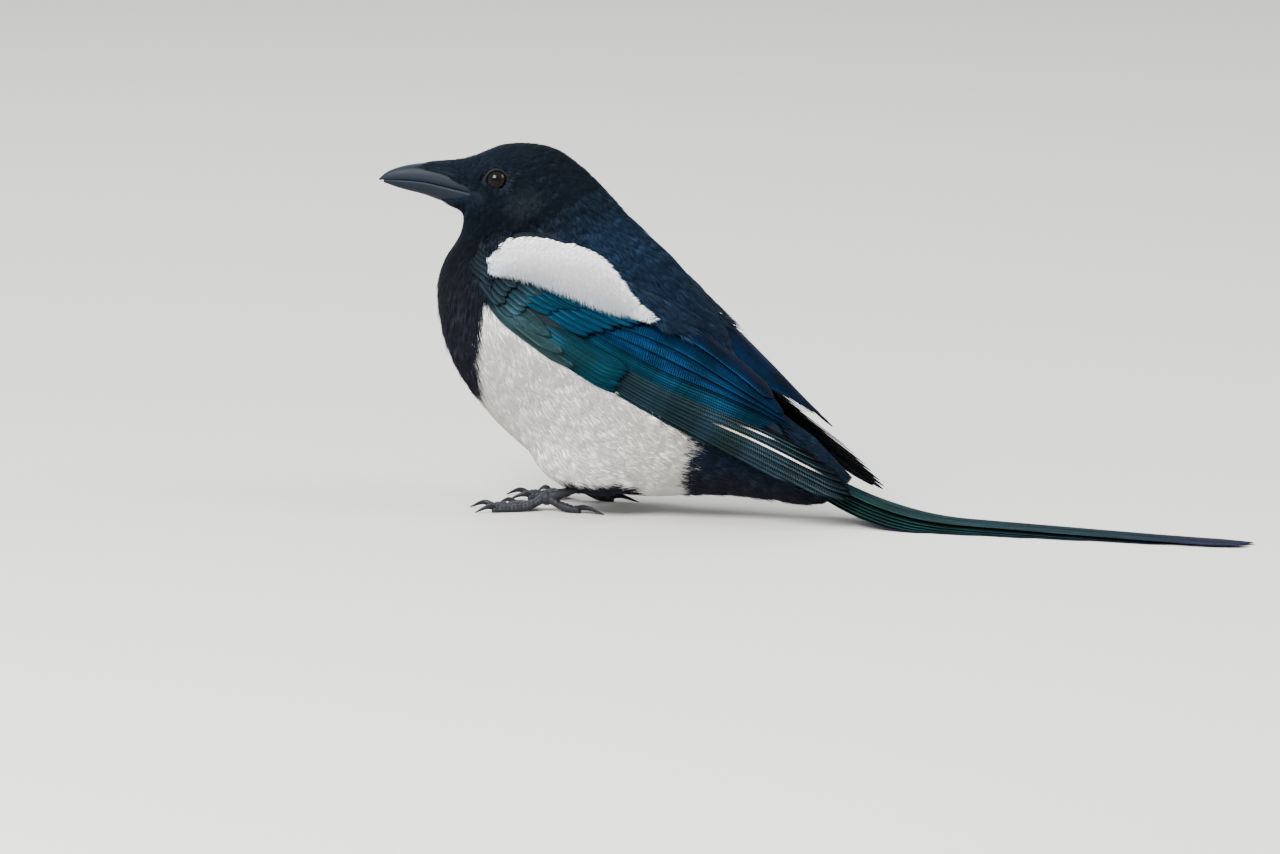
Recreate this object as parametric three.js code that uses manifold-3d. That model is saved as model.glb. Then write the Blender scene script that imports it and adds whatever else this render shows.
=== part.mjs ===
// A life-size Eurasian magpie standing low on its feet, head turned to its left, wings folded,
// its long tail laid out behind it on the floor. Millimetres, +Z up, the bird faces -X and its
// left side faces -Y. The origin is on the floor, midway between bill tip and tail tip.
import * as THREE from "three";
import { mergeVertices } from "three/addons/utils/BufferGeometryUtils.js";
import Module from "manifold-3d";

const wasm = await Module();
wasm.setup();

// Driving dimensions
const gap = 0.3; // between touching pieces
const sides = { left: -1, right: 1 }; // sign of y
const headTurn = 22; // degrees, towards the bird's left
const turnAxisX = -20; // the upright axis the head turns about
const vaneThickness = 0.5;
const vanePitch = 0.82; // from one vane of a stack to the next
const eyeRadius = 5;
const eyeCentre = [-46.2, 11, 142.7]; // before the head's turn
const lidOpening = 4.1; // radius of eye that shows between the lids
const legSpread = 18; // foot joint from the middle plane
const tarsusLength = 47;
const tarsusSlope = 18.7; // degrees above the floor

// Sections of the body from the bill's root to the tail coverts, each from a point on the back
// to one on the underside, as [back x, back z, underside x, underside z, half width]
const bodySections = [
  [-69.5, 149.9, -68, 131.2, 7],
  [-60, 151, -63, 128.5, 10],
  [-52.5, 153.5, -61, 126.5, 12.6],
  [-44, 156.7, -60.8, 122.5, 14.6],
  [-33, 157.4, -62, 118, 16],
  [-21, 155, -64.5, 113.5, 17.4],
  [-10, 147.5, -68.5, 107.5, 19.5],
  [0, 138, -71.5, 99.5, 23.5],
  [9.5, 128, -73, 89.5, 28.5],
  [19, 119.5, -72, 78, 33.5],
  [29, 111, -67.5, 64, 38],
  [39, 100.5, -58, 49.5, 41],
  [48.5, 88.5, -42, 33, 42],
  [56.5, 77, -20, 17.5, 40.5],
  [63.5, 66.5, 5, 8.5, 38],
  [70, 58, 26, 7, 33.5],
  [77, 50.5, 44, 8.5, 28.5],
  [86, 43, 60, 9.5, 23.5],
  [98, 34.5, 78, 8.5, 18.5],
  [108, 26.5, 92, 7, 12.5],
  [116, 19.5, 103, 7.5, 6],
];
const cuts = { headNeck: 6, neckTorso: 9, torsoRump: 15 }; // in sections
const turnFades = [5, 10]; // the head's turn dies out between these sections

// The folded wing as a curved sheet: along it from the wrist, its distance out from the middle
// plane, the lean of its surface from upright in degrees, and its radius of curl
const wingSlope = 29.5; // degrees the wing falls towards its tip
const wingFront = [-40, 105]; // x and z where the sheet begins
const wingSheet = {
  along: [0, 25, 55, 85, 115, 145, 187],
  shape: [
    [31, 12, 40],
    [39, 8, 46],
    [43, 6, 48],
    [41, 9, 46],
    [34.5, 16, 42],
    [29, 27, 38],
    [22, 38, 34],
  ],
};
const wingDepth = 5.4; // from the sheet in to the wing's inner face
const coreEnd = 62; // how far along the wing its solid part reaches

// The fan of the flight feathers, counted from the outermost primary at the wing's lower edge:
// where the edges of feathers 0, 10, 16 and 19 lie across the wing, at each place along it
const fanFeathers = [0, 10, 16, 19];
const fanEdges = {
  along: [42, 91, 140, 187],
  across: [
    [-12.6, 0.5, 5, 16],
    [-12.6, 1.3, 7.4, 19],
    [-12.4, 1.9, 14.3, 24.5],
    [-11, 2.4, 17, 27],
  ],
};
const primaryReach = [128, 166, 181, 187, 185, 180, 173, 166, 159, 152]; // outermost first
const secondaryReach = [139, 140, 141, 142, 143, 145];
const tertialReach = [147, 137, 123];

// The tail as a curve that falls from the rump, bends and runs out along the floor
const tailRoot = 58; // x
const tailFall = 40; // degrees
const tailStraight = 15.4;
const tailBend = 160; // radius
const tailRest = 1.42; // degrees of fall along the floor
const tailLengths = [115, 137, 160, 184, 218, 250]; // outermost pair first
const tailMiddles = [13, 11.6, 10, 8.3, 6.5, 4]; // of each feather from the tail's middle
const tailVaneHalf = 6.2;
const tailOpens = 110; // along the tail to where it is full width

const point = (x, y, z) => new THREE.Vector3(x, y, z);
const radians = THREE.MathUtils.degToRad;
const rounded = (value, power) => Math.sign(value) * Math.abs(value) ** power;

// Smooth rows of values between knots
function smooth(knots, rows) {
  const interpolant = new THREE.CubicInterpolant(knots, rows.flat(), rows[0].length);
  return (at) => Array.from(interpolant.evaluate(at));
}

// A solid from points and triangles, turned to face outwards
function solidOf(points, faces) {
  const volume = faces.reduce(
    (sum, [a, b, c]) => sum + points[a].dot(points[b].clone().cross(points[c])),
    0,
  );
  const outward = volume > 0 ? faces : faces.map(([a, b, c]) => [a, c, b]);
  const mesh = new wasm.Mesh({
    numProp: 3,
    vertProperties: new Float32Array(points.flatMap((each) => each.toArray())),
    triVerts: new Uint32Array(outward.flat()),
  });
  return new wasm.Manifold(mesh);
}

// A closed solid through rings of points, each end closed with a zigzag from its first corner
function ringSolid(rings) {
  const count = rings[0].length;
  const lastRing = (rings.length - 1) * count;
  const faces = [];
  for (let side = 0; side < count; side += 1) {
    const next = (side + 1) % count;
    for (let row = 0; row < lastRing; row += count) {
      faces.push([row + side, row + next, row + count + next]);
      faces.push([row + side, row + count + next, row + count + side]);
    }
  }
  for (let step = 1; step < count - 1; step += 1) {
    const low = Math.ceil(step / 2);
    const high = count - Math.floor(step / 2) - 1;
    const corner = step % 2 ? low - 1 : high + 1;
    faces.push(step % 2 ? [high, low, corner] : [corner, high, low]);
    const end = [lastRing + high, lastRing + low, lastRing + corner];
    faces.push(step % 2 ? [end[0], end[2], end[1]] : [end[2], end[1], end[0]]);
  }
  return solidOf(rings.flat(), faces);
}

// A solid from a three.js geometry
function geometrySolid(geometry) {
  geometry.deleteAttribute("normal");
  geometry.deleteAttribute("uv");
  const merged = mergeVertices(geometry, 1e-4);
  const position = merged.attributes.position;
  const points = Array.from({ length: position.count }, (_, at) =>
    new THREE.Vector3().fromBufferAttribute(position, at),
  );
  const faces = [];
  for (let at = 0; at < merged.index.count; at += 3) {
    faces.push([0, 1, 2].map((corner) => merged.index.getX(at + corner)));
  }
  return solidOf(points, faces);
}

// The largest closed surface of a solid
function largest(solid) {
  return solid.decompose().reduce((best, each) => (each.volume() > best.volume() ? each : best));
}

const joined = (solids) => wasm.Manifold.union(solids);
const cutFrom = (solid, tools) => tools.reduce((left, tool) => left.subtract(tool), solid);

const group = new THREE.Group();

// A named mesh with its own material
function addNode(name, solid, color, roughness) {
  const mesh = largest(solid).getMesh();
  const geometry = new THREE.BufferGeometry();
  geometry.setAttribute("position", new THREE.BufferAttribute(mesh.vertProperties, 3));
  geometry.setIndex(new THREE.BufferAttribute(mesh.triVerts, 1));
  geometry.computeVertexNormals();
  const material = new THREE.MeshStandardMaterial({ color, roughness, metalness: 0 });
  const node = new THREE.Mesh(geometry, material);
  node.name = name;
  group.add(node);
}

// The head's turn about its upright axis, full for share 1
function turned(at, share = 1) {
  const pivot = point(turnAxisX, 0, 0);
  return at.sub(pivot).applyAxisAngle(point(0, 0, 1), radians(headTurn) * share).add(pivot);
}

const bodyAt = smooth(bodySections.map((_, at) => at), bodySections);
const turnShare = (section) => 1 - THREE.MathUtils.smoothstep(section, ...turnFades);

// The body's outline at a section, grown outwards: an oval a little squarer than an ellipse
function bodyRing(section, count, grow = 0) {
  const [backX, backZ, underX, underZ, half] = bodyAt(section);
  const back = point(backX, 0, backZ);
  const under = point(underX, 0, underZ);
  const middle = back.clone().lerp(under, 0.5);
  const up = back.sub(under);
  const tall = up.length() / 2;
  up.normalize();
  return Array.from({ length: count }, (_, at) => {
    const angle = (2 * Math.PI * at) / count;
    const height = (tall + grow) * rounded(Math.cos(angle), 0.93);
    const width = (half + grow) * rounded(Math.sin(angle), 0.93);
    const spot = middle.clone().addScaledVector(up, height).add(point(0, width, 0));
    return turned(spot, turnShare(section));
  });
}

// The plane of a section, as a normal towards the tail and its distance from the origin
function sectionPlane(section) {
  const [backX, backZ, underX, underZ] = bodyAt(section);
  const share = turnShare(section);
  const back = turned(point(backX, 0, backZ), share);
  const under = turned(point(underX, 0, underZ), share);
  const across = point(0, 1, 0).applyAxisAngle(point(0, 0, 1), radians(headTurn) * share);
  const normal = across.cross(back.clone().sub(under)).normalize();
  return { normal, offset: normal.dot(back) };
}

const behind = (solid, { normal, offset }) =>
  solid.trimByPlane(normal.toArray(), offset + gap / 2);
const before = (solid, { normal, offset }) =>
  solid.trimByPlane(normal.clone().negate().toArray(), gap / 2 - offset);

const wingAt = smooth(wingSheet.along, wingSheet.shape);
const wingDown = radians(wingSlope);

// A point of the folded wing: along it, across it towards the back, and out from its sheet
function wingPoint(side, along, across, out) {
  const [distance, lean, curl] = wingAt(along);
  const start = radians(lean);
  const angle = start + across / curl;
  const rise = curl * (Math.sin(angle) - Math.sin(start)) + out * Math.sin(angle);
  const reach = distance + curl * (Math.cos(angle) - Math.cos(start)) + out * Math.cos(angle);
  return point(
    wingFront[0] + along * Math.cos(wingDown) + rise * Math.sin(wingDown),
    side * reach,
    wingFront[1] - along * Math.sin(wingDown) + rise * Math.cos(wingDown),
  );
}

// Height of the wing's rounded outer face over its sheet. It rises to meet the shoulder
function wingCrown(along, across) {
  const off = (across - 8) / 22;
  const shoulder = THREE.MathUtils.clamp(1 - along / 20, 0, 1.3) * Math.max(0, across - 9);
  return 0.2 - (off < 0 ? 1.2 : 1.6) * off * off + 0.4 * shoulder;
}

// Lower and upper edges of the wing, across it
const wingEdges = smooth(
  [-7, -3, 5, 22, 41, 62, 82, 128, 150, 187],
  [
    [6, 10],
    [2.3, 15],
    [-6.4, 24],
    [-15.7, 32.5],
    [-14.6, 34.5],
    [-13.6, 33],
    [-13.2, 31],
    [-13.2, 28],
    [-12.8, 22],
    [-12, 4],
  ],
);

const wingFace = (along, across) => wingCrown(along, across) + 0.5;

// A block of the wing from its inner face out to a height over its sheet, grown at its edges.
// With a clear height its outer half runs straight out that far instead
function wingBlock(side, stations, outer, grow = 0, clear = 0) {
  const count = 12;
  return ringSolid(
    stations.map((along) => {
      const [low, high] = wingEdges(along);
      return Array.from({ length: count }, (_, at) => {
        const angle = (2 * Math.PI * at) / count;
        const wide = rounded(Math.cos(angle), 0.7);
        const deep = rounded(Math.sin(angle), 0.7);
        const straight = clear > 0 && deep > 0.01;
        const share = straight ? Math.round(wide) : wide;
        const across = (high + low) / 2 + ((high - low) / 2 + grow) * share;
        const middle = (wingFace(along, across) - wingDepth) / 2;
        const far = deep < 0 ? -wingDepth - grow : outer(along, across);
        const out = THREE.MathUtils.lerp(middle, far, Math.abs(deep));
        return wingPoint(side, along, across, straight ? clear * deep : out);
      });
    }),
  );
}

// A thin tapered plate on a surface. Its middle runs from root to tip, each [along, across];
// low and high are its widths to either side, and lift gives its height over the surface
function vane({ place, root, tip, low, high, lift, taper, stations = [], strips = 1 }) {
  const run = new THREE.Vector2(tip[0] - root[0], tip[1] - root[1]);
  const length = run.length();
  run.divideScalar(length);
  const ends = [
    [length - taper, 1],
    [length - 0.4 * taper, 0.78],
    [length, 0.14],
  ];
  const straight = stations
    .map((along) => (along - root[0]) / run.x)
    .filter((at) => at > 8 && at < length - taper - 8);
  const rows = [[0, 0.5], ...straight.map((at) => [at, 1]), ...ends];
  const widths = Array.from({ length: strips + 1 }, (_, at) =>
    THREE.MathUtils.lerp(-low, high, at / strips),
  );
  const points = rows.flatMap(([at, share]) =>
    [0.5, -0.5].flatMap((face) =>
      widths.map((width) => {
        const along = root[0] + run.x * at - run.y * width * share;
        const across = root[1] + run.y * at + run.x * width * share;
        return place(along, across, lift(along, across) + face * vaneThickness);
      }),
    ),
  );
  // Both faces are split along the same diagonals
  const wide = widths.length;
  const ring = 2 * wide;
  const faces = [];
  for (let row = 0; row < rows.length - 1; row += 1) {
    const here = row * ring;
    const next = here + ring;
    for (let strip = 0; strip < strips; strip += 1) {
      faces.push([here + strip, next + strip, next + strip + 1]);
      faces.push([here + strip, next + strip + 1, here + strip + 1]);
      faces.push([here + wide + strip, next + wide + strip + 1, next + wide + strip]);
      faces.push([here + wide + strip, here + wide + strip + 1, next + wide + strip + 1]);
    }
    for (const edge of [0, strips]) {
      const turn = edge === 0 ? [0, 2, 1] : [0, 1, 2];
      const one = [here + edge, next + edge, next + wide + edge];
      const two = [here + edge, next + wide + edge, here + wide + edge];
      faces.push(turn.map((corner) => one[corner]));
      faces.push(turn.map((corner) => two[corner]));
    }
  }
  for (let strip = 0; strip < strips; strip += 1) {
    const end = (rows.length - 1) * ring;
    faces.push([strip, strip + 1, wide + strip + 1], [strip, wide + strip + 1, wide + strip]);
    faces.push([end + strip + 1, end + strip, end + wide + strip]);
    faces.push([end + strip + 1, end + wide + strip, end + wide + strip + 1]);
  }
  return solidOf(points, faces);
}

// Tail: where its curve is at a length from the root, and its fall there
function tailCurve(length) {
  const fall = radians(tailFall);
  const rest = radians(tailRest);
  const straight = Math.min(length, tailStraight);
  const bend = THREE.MathUtils.clamp((length - tailStraight) / tailBend, 0, fall - rest);
  const angle = fall - bend;
  const flat = length - straight - bend * tailBend;
  return {
    x: tailRoot + straight * Math.cos(fall)
      + tailBend * (Math.sin(fall) - Math.sin(angle)) + flat * Math.cos(angle),
    drop: straight * Math.sin(fall)
      + tailBend * (Math.cos(angle) - Math.cos(fall)) + flat * Math.sin(angle),
    angle,
  };
}

const tailTip = tailLengths.at(-1);
const tailLevels = tailLengths.length + 1; // the middle pair takes two
const tailRootHeight = tailCurve(tailTip).drop - (tailLevels - 2) * vanePitch + vaneThickness / 2;
const tailOpen = (along) => 0.3 + 0.7 * THREE.MathUtils.smoothstep(along, 0, tailOpens);
const tailRoof = (across) => 0.13 * (Math.hypot(across, 4) - 4);

// A point of the tail: along it, across it where it is full width, and up from its lowest vane
function tailPoint(along, across, up) {
  const { x, drop, angle } = tailCurve(along);
  const aside = across * tailOpen(along);
  const over = up - tailRoof(aside);
  return point(
    x + over * Math.sin(angle),
    aside,
    tailRootHeight - drop + over * Math.cos(angle),
  );
}

// A block round the tail's stack of vanes
function tailBlock(stations, half, grow) {
  const across = [-1, -0.5, 0, 0.5, 1].map((share) => share * half);
  const top = (tailLevels - 1) * vanePitch + vaneThickness / 2 + grow;
  const bottom = -vaneThickness / 2 - grow;
  return ringSolid(
    stations.map((along) => [
      ...across.map((aside) => tailPoint(along, aside, top)),
      ...across.map((aside) => tailPoint(along, -aside, bottom)),
    ]),
  );
}

// The tail feather by feather, joined in a block at the root
function tailSolid() {
  const vanes = tailLengths.flatMap((length, pair) => {
    const inmost = pair === tailLengths.length - 1;
    return Object.values(sides).map((side) => vane({
      place: (along, across, up) => tailPoint(along, across + side * tailMiddles[pair], up),
      root: [2, 0],
      tip: [length, 0],
      low: tailVaneHalf + (inmost ? 0.8 : 0),
      high: tailVaneHalf + (inmost ? 0.8 : 0),
      lift: () => (pair + (inmost && side < 0 ? 1 : 0)) * vanePitch,
      taper: 20,
      stations: [24, 46, 68, 90, 114, 165],
      strips: inmost ? 2 : 1,
    }));
  });
  return joined([tailBlock([0.5, 14], 14, 0.2), ...vanes]).trimByPlane([0, 0, 1], 0);
}

// Wings. Where the edge of a flight feather lies, with feathers counted as in the fan
const fanAt = smooth(fanEdges.along, fanEdges.across);
function fanAcross(along, feather) {
  const edges = fanAt(along);
  const at = Math.max(0, fanFeathers.findLastIndex((first) => feather >= first));
  const low = Math.min(at, fanFeathers.length - 2);
  const share = (feather - fanFeathers[low]) / (fanFeathers[low + 1] - fanFeathers[low]);
  return THREE.MathUtils.lerp(edges[low], edges[low + 1], share);
}

// Each flight feather tucks under the next one nearer the back, one pitch deeper for each
function flightVanes(side) {
  const place = (along, feather, out) => {
    const across = fanAcross(along, feather);
    return wingPoint(side, along, across, wingCrown(along, across) - 0.9 + out);
  };
  const flight = ({ reach, first, low, high, taper, rise = 0, strips = 1, tipShift = 0 }) =>
    reach.map((length, at) => {
      const feather = first + at;
      return vane({
        place,
        root: [42, feather + low],
        tip: [length, feather + low + tipShift],
        low,
        high,
        lift: (_, across) => rise + vanePitch * (feather - across),
        taper,
        stations: [58, 74, 92, 114, 136, 158],
        strips,
      });
    });
  return [
    ...flight({ reach: primaryReach, first: 0, low: 1.8, high: 2.4, taper: 26, tipShift: 0.9 }),
    ...flight({ reach: secondaryReach, first: 10, low: 1.4, high: 1.8, taper: 12 }),
    ...flight({
      reach: tertialReach, first: 16, low: 1, high: 1.2, taper: 15, rise: 0.4, strips: 2,
    }),
  ];
}

// A tier of coverts on the wing's outer face, each tucked under the next one nearer the back
function coverTier(side, { count, root, rootStep, tip, tipStep, low, high, rise, taper }) {
  const place = (along, across, out) =>
    wingPoint(side, along, across, wingCrown(along, across) + out);
  const sunk = 1.6; // at the root
  return Array.from({ length: count }, (_, at) => {
    const start = [root[0] + rootStep[0] * at, root[1] + rootStep[1] * at];
    const end = [tip[0] + tipStep[0] * at, tip[1] + tipStep[1] * at];
    return vane({
      place,
      root: start,
      tip: end,
      low,
      high,
      lift: (along, across) =>
        rise - sunk * (1 - THREE.MathUtils.smoothstep(along, start[0], start[0] + 14))
        + vanePitch * (at - (across - tip[1]) / tipStep[1]),
      taper,
    });
  });
}

function coverVanes(side) {
  return [
    // Greater coverts over the secondaries
    ...coverTier(side, {
      count: 7, root: [24, 3], rootStep: [3, 3.1], tip: [57, 4.4], tipStep: [3.6, 3.4],
      low: 2.4, high: 3.2, rise: 1, taper: 8,
    }),
    // Primary coverts, with the step in the wing's lower half at their tips
    ...coverTier(side, {
      count: 5, root: [26, -10], rootStep: [1, 2], tip: [78, -9.4], tipStep: [0.7, 2.4],
      low: 1.8, high: 2.4, rise: 0.5, taper: 12,
    }),
    // Alula
    ...coverTier(side, {
      count: 3, root: [8, -9], rootStep: [1, 2.4], tip: [58, -9], tipStep: [-7, 2.4],
      low: 1.8, high: 2.6, rise: 1.6, taper: 12,
    }),
  ];
}

const frontStations = [-6.5, -4, 2, 10, 20, 33]; // along the front of the wing

function wingSolid(side) {
  const full = 46; // the core thins out beyond this
  const outer = (along, across) => {
    const fade = THREE.MathUtils.smoothstep(along, full, coreEnd);
    return THREE.MathUtils.lerp(wingFace(along, across), 0.4 - wingDepth / 2, fade);
  };
  const core = wingBlock(side, [...frontStations, full, 55, coreEnd], outer);
  return joined([core, ...flightVanes(side), ...coverVanes(side)]);
}

// The hollow in the body that the wing lies in
function wingBed(side) {
  const clear = 14; // well outside the body
  const stations = [-6.9, ...frontStations, 46, 55, coreEnd, 74, 92, 114, 136, 158, 176];
  return wingBlock(side, stations, wingFace, 1.5 * gap, clear);
}

// The bill, before the head's turn: [top, cutting edge, underside, half width] at each x
const billAt = smooth(
  [-97, -94, -88.4, -77.2, -69.4, -60],
  [
    [142, 141.4, 141, 0.5],
    [144.6, 141.6, 140, 1.5],
    [147, 141.7, 138, 2.8],
    [148.9, 141, 135, 5],
    [148.8, 139.4, 132.2, 6.2],
    [148, 137.4, 130, 7],
  ],
);

// A half-round section of one mandible: 1 for the upper, -1 for the lower
function mandibleRing(x, way, grow) {
  const [top, edge, under, half] = billAt(x);
  const tall = way > 0 ? top - edge : edge - under;
  const steps = 7;
  return Array.from({ length: steps + 1 }, (_, at) => {
    const angle = Math.PI * (at / steps - 0.5);
    const width = (half + grow) * Math.sin(angle);
    const rise = gap / 2 - grow + (tall - gap / 2 + 2 * grow) * Math.cos(angle);
    return turned(point(x, width, edge + way * rise));
  });
}

function mandible(way, grow = 0) {
  const stations = way > 0 ? [-97, -95.5, -93, -88.4, -83, -77.2, -70, -61]
    : [-95, -93, -88.4, -83, -77.2, -70, -61];
  stations[stations.length - 1] += grow;
  return ringSolid(stations.map((x) => mandibleRing(x, way, grow)));
}

// Stiff bristles that lie forward over the nostrils: along is millimetres forward of the root
function nasalBristles() {
  const place = (along, across, up) => {
    const x = -63 - along;
    const [top, edge, , half] = billAt(x);
    const angle = across / half;
    const width = (half + up) * Math.sin(angle);
    return turned(point(x, width, edge + (top - edge + up) * Math.cos(angle)));
  };
  const spread = [-7.5, -5.4, -3.2, -1.1, 1.1, 3.2, 5.4, 7.5];
  return spread.map((across, at) => vane({
    place,
    root: [0, across],
    tip: [14.5 + 1.5 * (at % 2), across * 0.62],
    low: 1.15,
    high: 1.15,
    lift: (along) => 0.9 - 0.01 * along + 0.12 * (at % 2),
    taper: 8,
    stations: [6],
  }));
}

const ball = (radius, at, wide = 14, high = 9) => {
  const geometry = new THREE.SphereGeometry(radius, wide, high);
  return geometrySolid(geometry.rotateX(Math.PI / 2).translate(...at.toArray()));
};

const eyeSpot = (side) => turned(point(eyeCentre[0], side * eyeCentre[1], eyeCentre[2]));

// A ring of lid round each eye
function lidRing(side) {
  const tube = 0.9;
  const out = Math.sqrt(eyeRadius ** 2 - lidOpening ** 2);
  const ring = new THREE.TorusGeometry(lidOpening + tube, tube, 5, 14);
  ring.rotateX(Math.PI / 2).rotateZ(radians(headTurn));
  const at = turned(point(eyeCentre[0], side * (eyeCentre[1] + out), eyeCentre[2]));
  return geometrySolid(ring.translate(...at.toArray()));
}

// The line of the mouth runs on from the bill's edge to the gape, a shallow groove in the cheek
function gapeGroove(side) {
  const ends = [
    { x: -67.5, z: 139.2, reach: 7, tall: 0.7 },
    { x: -53.7, z: 135, reach: 11.6, tall: 0.4 },
  ];
  return ringSolid(
    ends.map(({ x, z, reach, tall }) =>
      [[0, -1], [4, -1], [4, 1], [0, 1]].map(([out, up]) =>
        turned(point(x, side * (reach + out), z + (up * tall) / 2)),
      ),
    ),
  );
}

// Legs. A tube through rings that stand square to the x-y heading of its path
function tube(path, count) {
  return ringSolid(
    path.map(({ at, heading, radius, tall = radius, lean = 0 }) =>
      Array.from({ length: count }, (_, step) => {
        const angle = (2 * Math.PI * (step + 0.5)) / count;
        const across = point(-heading.y, heading.x, 0).multiplyScalar(radius * Math.cos(angle));
        const up = point(-heading.x * Math.sin(lean), -heading.y * Math.sin(lean), Math.cos(lean));
        return at.clone().add(across).addScaledVector(up, tall * Math.sin(angle));
      }),
    ),
  );
}

const footJoint = (side) => point(-18, side * legSpread, 5.7);
const knuckle = 3.1; // radius of the joint that the toes spring from

// Toes: yaw in degrees outwards from straight ahead, and lengths of toe and claw
const toes = [
  { yaw: 4, length: 27, claw: 8, pads: 4, radius: 2.2 },
  { yaw: -24, length: 22, claw: 8.5, pads: 3, radius: 2.1 },
  { yaw: 33, length: 24, claw: 7.5, pads: 4, radius: 2 },
  { yaw: 176, length: 16, claw: 11.5, pads: 2, radius: 2.3 },
];

function toeSolids(side, { yaw, length, claw, pads, radius }, grow = 0) {
  const heading = point(-Math.cos(radians(yaw)), side * Math.sin(radians(yaw)), 0);
  const joint = footJoint(side);
  const steps = 2 * pads + 1;
  const toe = Array.from({ length: steps + 1 }, (_, step) => {
    const along = (length * step) / steps;
    const girth = radius * (1 - (0.28 * along) / length) * (step % 2 ? 1 : 0.86);
    const height = girth * 0.9 + (joint.z - girth * 0.9) * Math.exp(-((along / 6) ** 2));
    const at = point(joint.x + heading.x * along, joint.y + heading.y * along, height);
    return { at, heading, radius: girth + grow };
  });
  const clawSteps = 4;
  const hook = Array.from({ length: clawSteps + 1 }, (_, step) => {
    const share = step / clawSteps;
    const along = length - 1.5 + (claw + 1.5) * share;
    const girth = 1.25 * (1 - share) ** 0.7 + 0.22;
    const height = 1.9 + 1.6 * Math.sin(Math.PI * share) * (1 - share) - 1.5 * share ** 2;
    const at = point(joint.x + heading.x * along, joint.y + heading.y * along, height);
    return { at, heading, radius: girth * 0.8, tall: girth };
  });
  return [tube(toe, 6), tube(hook, 5)];
}

function footSolid(side) {
  const solids = toes.flatMap((toe) => toeSolids(side, toe));
  return joined([ball(knuckle, footJoint(side), 8, 6), ...solids]).trimByPlane([0, 0, 1], 0);
}

const shin = point(Math.cos(radians(tarsusSlope)), 0, Math.sin(radians(tarsusSlope)));

// Tarsus with a raised scute every step, thicker at both joints
function tarsusSolid(side, grow = 0) {
  const scutes = 9;
  const shown = 0.82; // the heel end lies inside the feathering
  const path = [];
  for (let step = 0; step < scutes; step += 1) {
    for (const [within, raise] of [[0, 0], [0.82, 0.22]]) {
      const share = (step + within) / scutes;
      const at = footJoint(side).addScaledVector(shin, (tarsusLength * shown + grow) * share);
      const radius = 1.75 + 0.9 * (2 * share - 1) ** 4 + raise + grow;
      path.push({ at, heading: point(1, 0, 0), radius: radius * 0.86, tall: radius });
    }
  }
  path.forEach((ring) => {
    ring.lean = radians(tarsusSlope);
  });
  const shaft = tube(path, 8);
  const hindToe = toeSolids(side, toes.at(-1), gap)[0];
  return grow ? shaft : cutFrom(shaft, [ball(knuckle + gap, footJoint(side), 8, 6), hindToe]);
}

// Feathered thigh that shows low on the flank
function thighSolid(side, grow = 0) {
  const geometry = new THREE.SphereGeometry(1, 14, 9);
  geometry.rotateX(Math.PI / 2).scale(25 + grow, 12.5 + grow, 15 + grow);
  geometry.rotateY(radians(12)).translate(3, side * 23, 24.5);
  return geometrySolid(geometry);
}

// Body whole, then its hollows, then parted with thin cuts
const bodySides = 22;
const bodyStations = bodySections.flatMap((_, at) => (at < 6 ? [at, at + 0.5] : [at]));
const bodyRings = bodyStations.map((section) => bodyRing(section, bodySides));
const bothSides = (build) => Object.values(sides).map(build);
const body = cutFrom(ringSolid(bodyRings), [
  ...bothSides(wingBed),
  tailBlock([0.5 - gap, 20, 40, 60, 80], tailMiddles[0] + tailVaneHalf + 0.6, gap + 0.2),
  ...bothSides((side) => thighSolid(side, gap)),
  ...bothSides((side) => tarsusSolid(side, gap)),
]);
const planes = Object.fromEntries(
  Object.entries(cuts).map(([name, section]) => [name, sectionPlane(section)]),
);

const headCore = before(body, planes.headNeck);
const head = cutFrom(
  joined([headCore, ...bothSides(lidRing), ...nasalBristles()]),
  [
    mandible(1, gap),
    mandible(-1, gap),
    ...bothSides((side) => ball(eyeRadius + gap, eyeSpot(side))),
    ...bothSides(gapeGroove),
  ],
);

const black = "#16171c";
addNode("head", head, black, 0.75);
addNode("neck", before(behind(body, planes.headNeck), planes.neckTorso), black, 0.75);
addNode("torso", before(behind(body, planes.neckTorso), planes.torsoRump), "#e9e6e0", 0.85);
addNode("tail_base", behind(body, planes.torsoRump), black, 0.8);
addNode("tail", tailSolid(), "#0f4a4c", 0.4);
addNode("bill_upper", mandible(1), "#2a2c31", 0.4);
addNode("bill_lower", mandible(-1), "#2a2c31", 0.4);
for (const [name, side] of Object.entries(sides)) {
  addNode(`eye_${name}`, ball(eyeRadius, eyeSpot(side)), "#17110e", 0.1);
  addNode(`wing_${name}`, wingSolid(side), "#123a5e", 0.45);
  addNode(`thigh_${name}`, thighSolid(side).subtract(tarsusSolid(side, gap)), "#e6e2da", 0.85);
  addNode(`tarsus_${name}`, tarsusSolid(side), "#25262a", 0.55);
  addNode(`foot_${name}`, footSolid(side), "#25262a", 0.55);
}

// Origin on the floor under the middle of the whole
const box = new THREE.Box3().setFromObject(group);
const centre = box.getCenter(new THREE.Vector3());
group.position.set(-centre.x, -centre.y, 0);

export default group;
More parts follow.
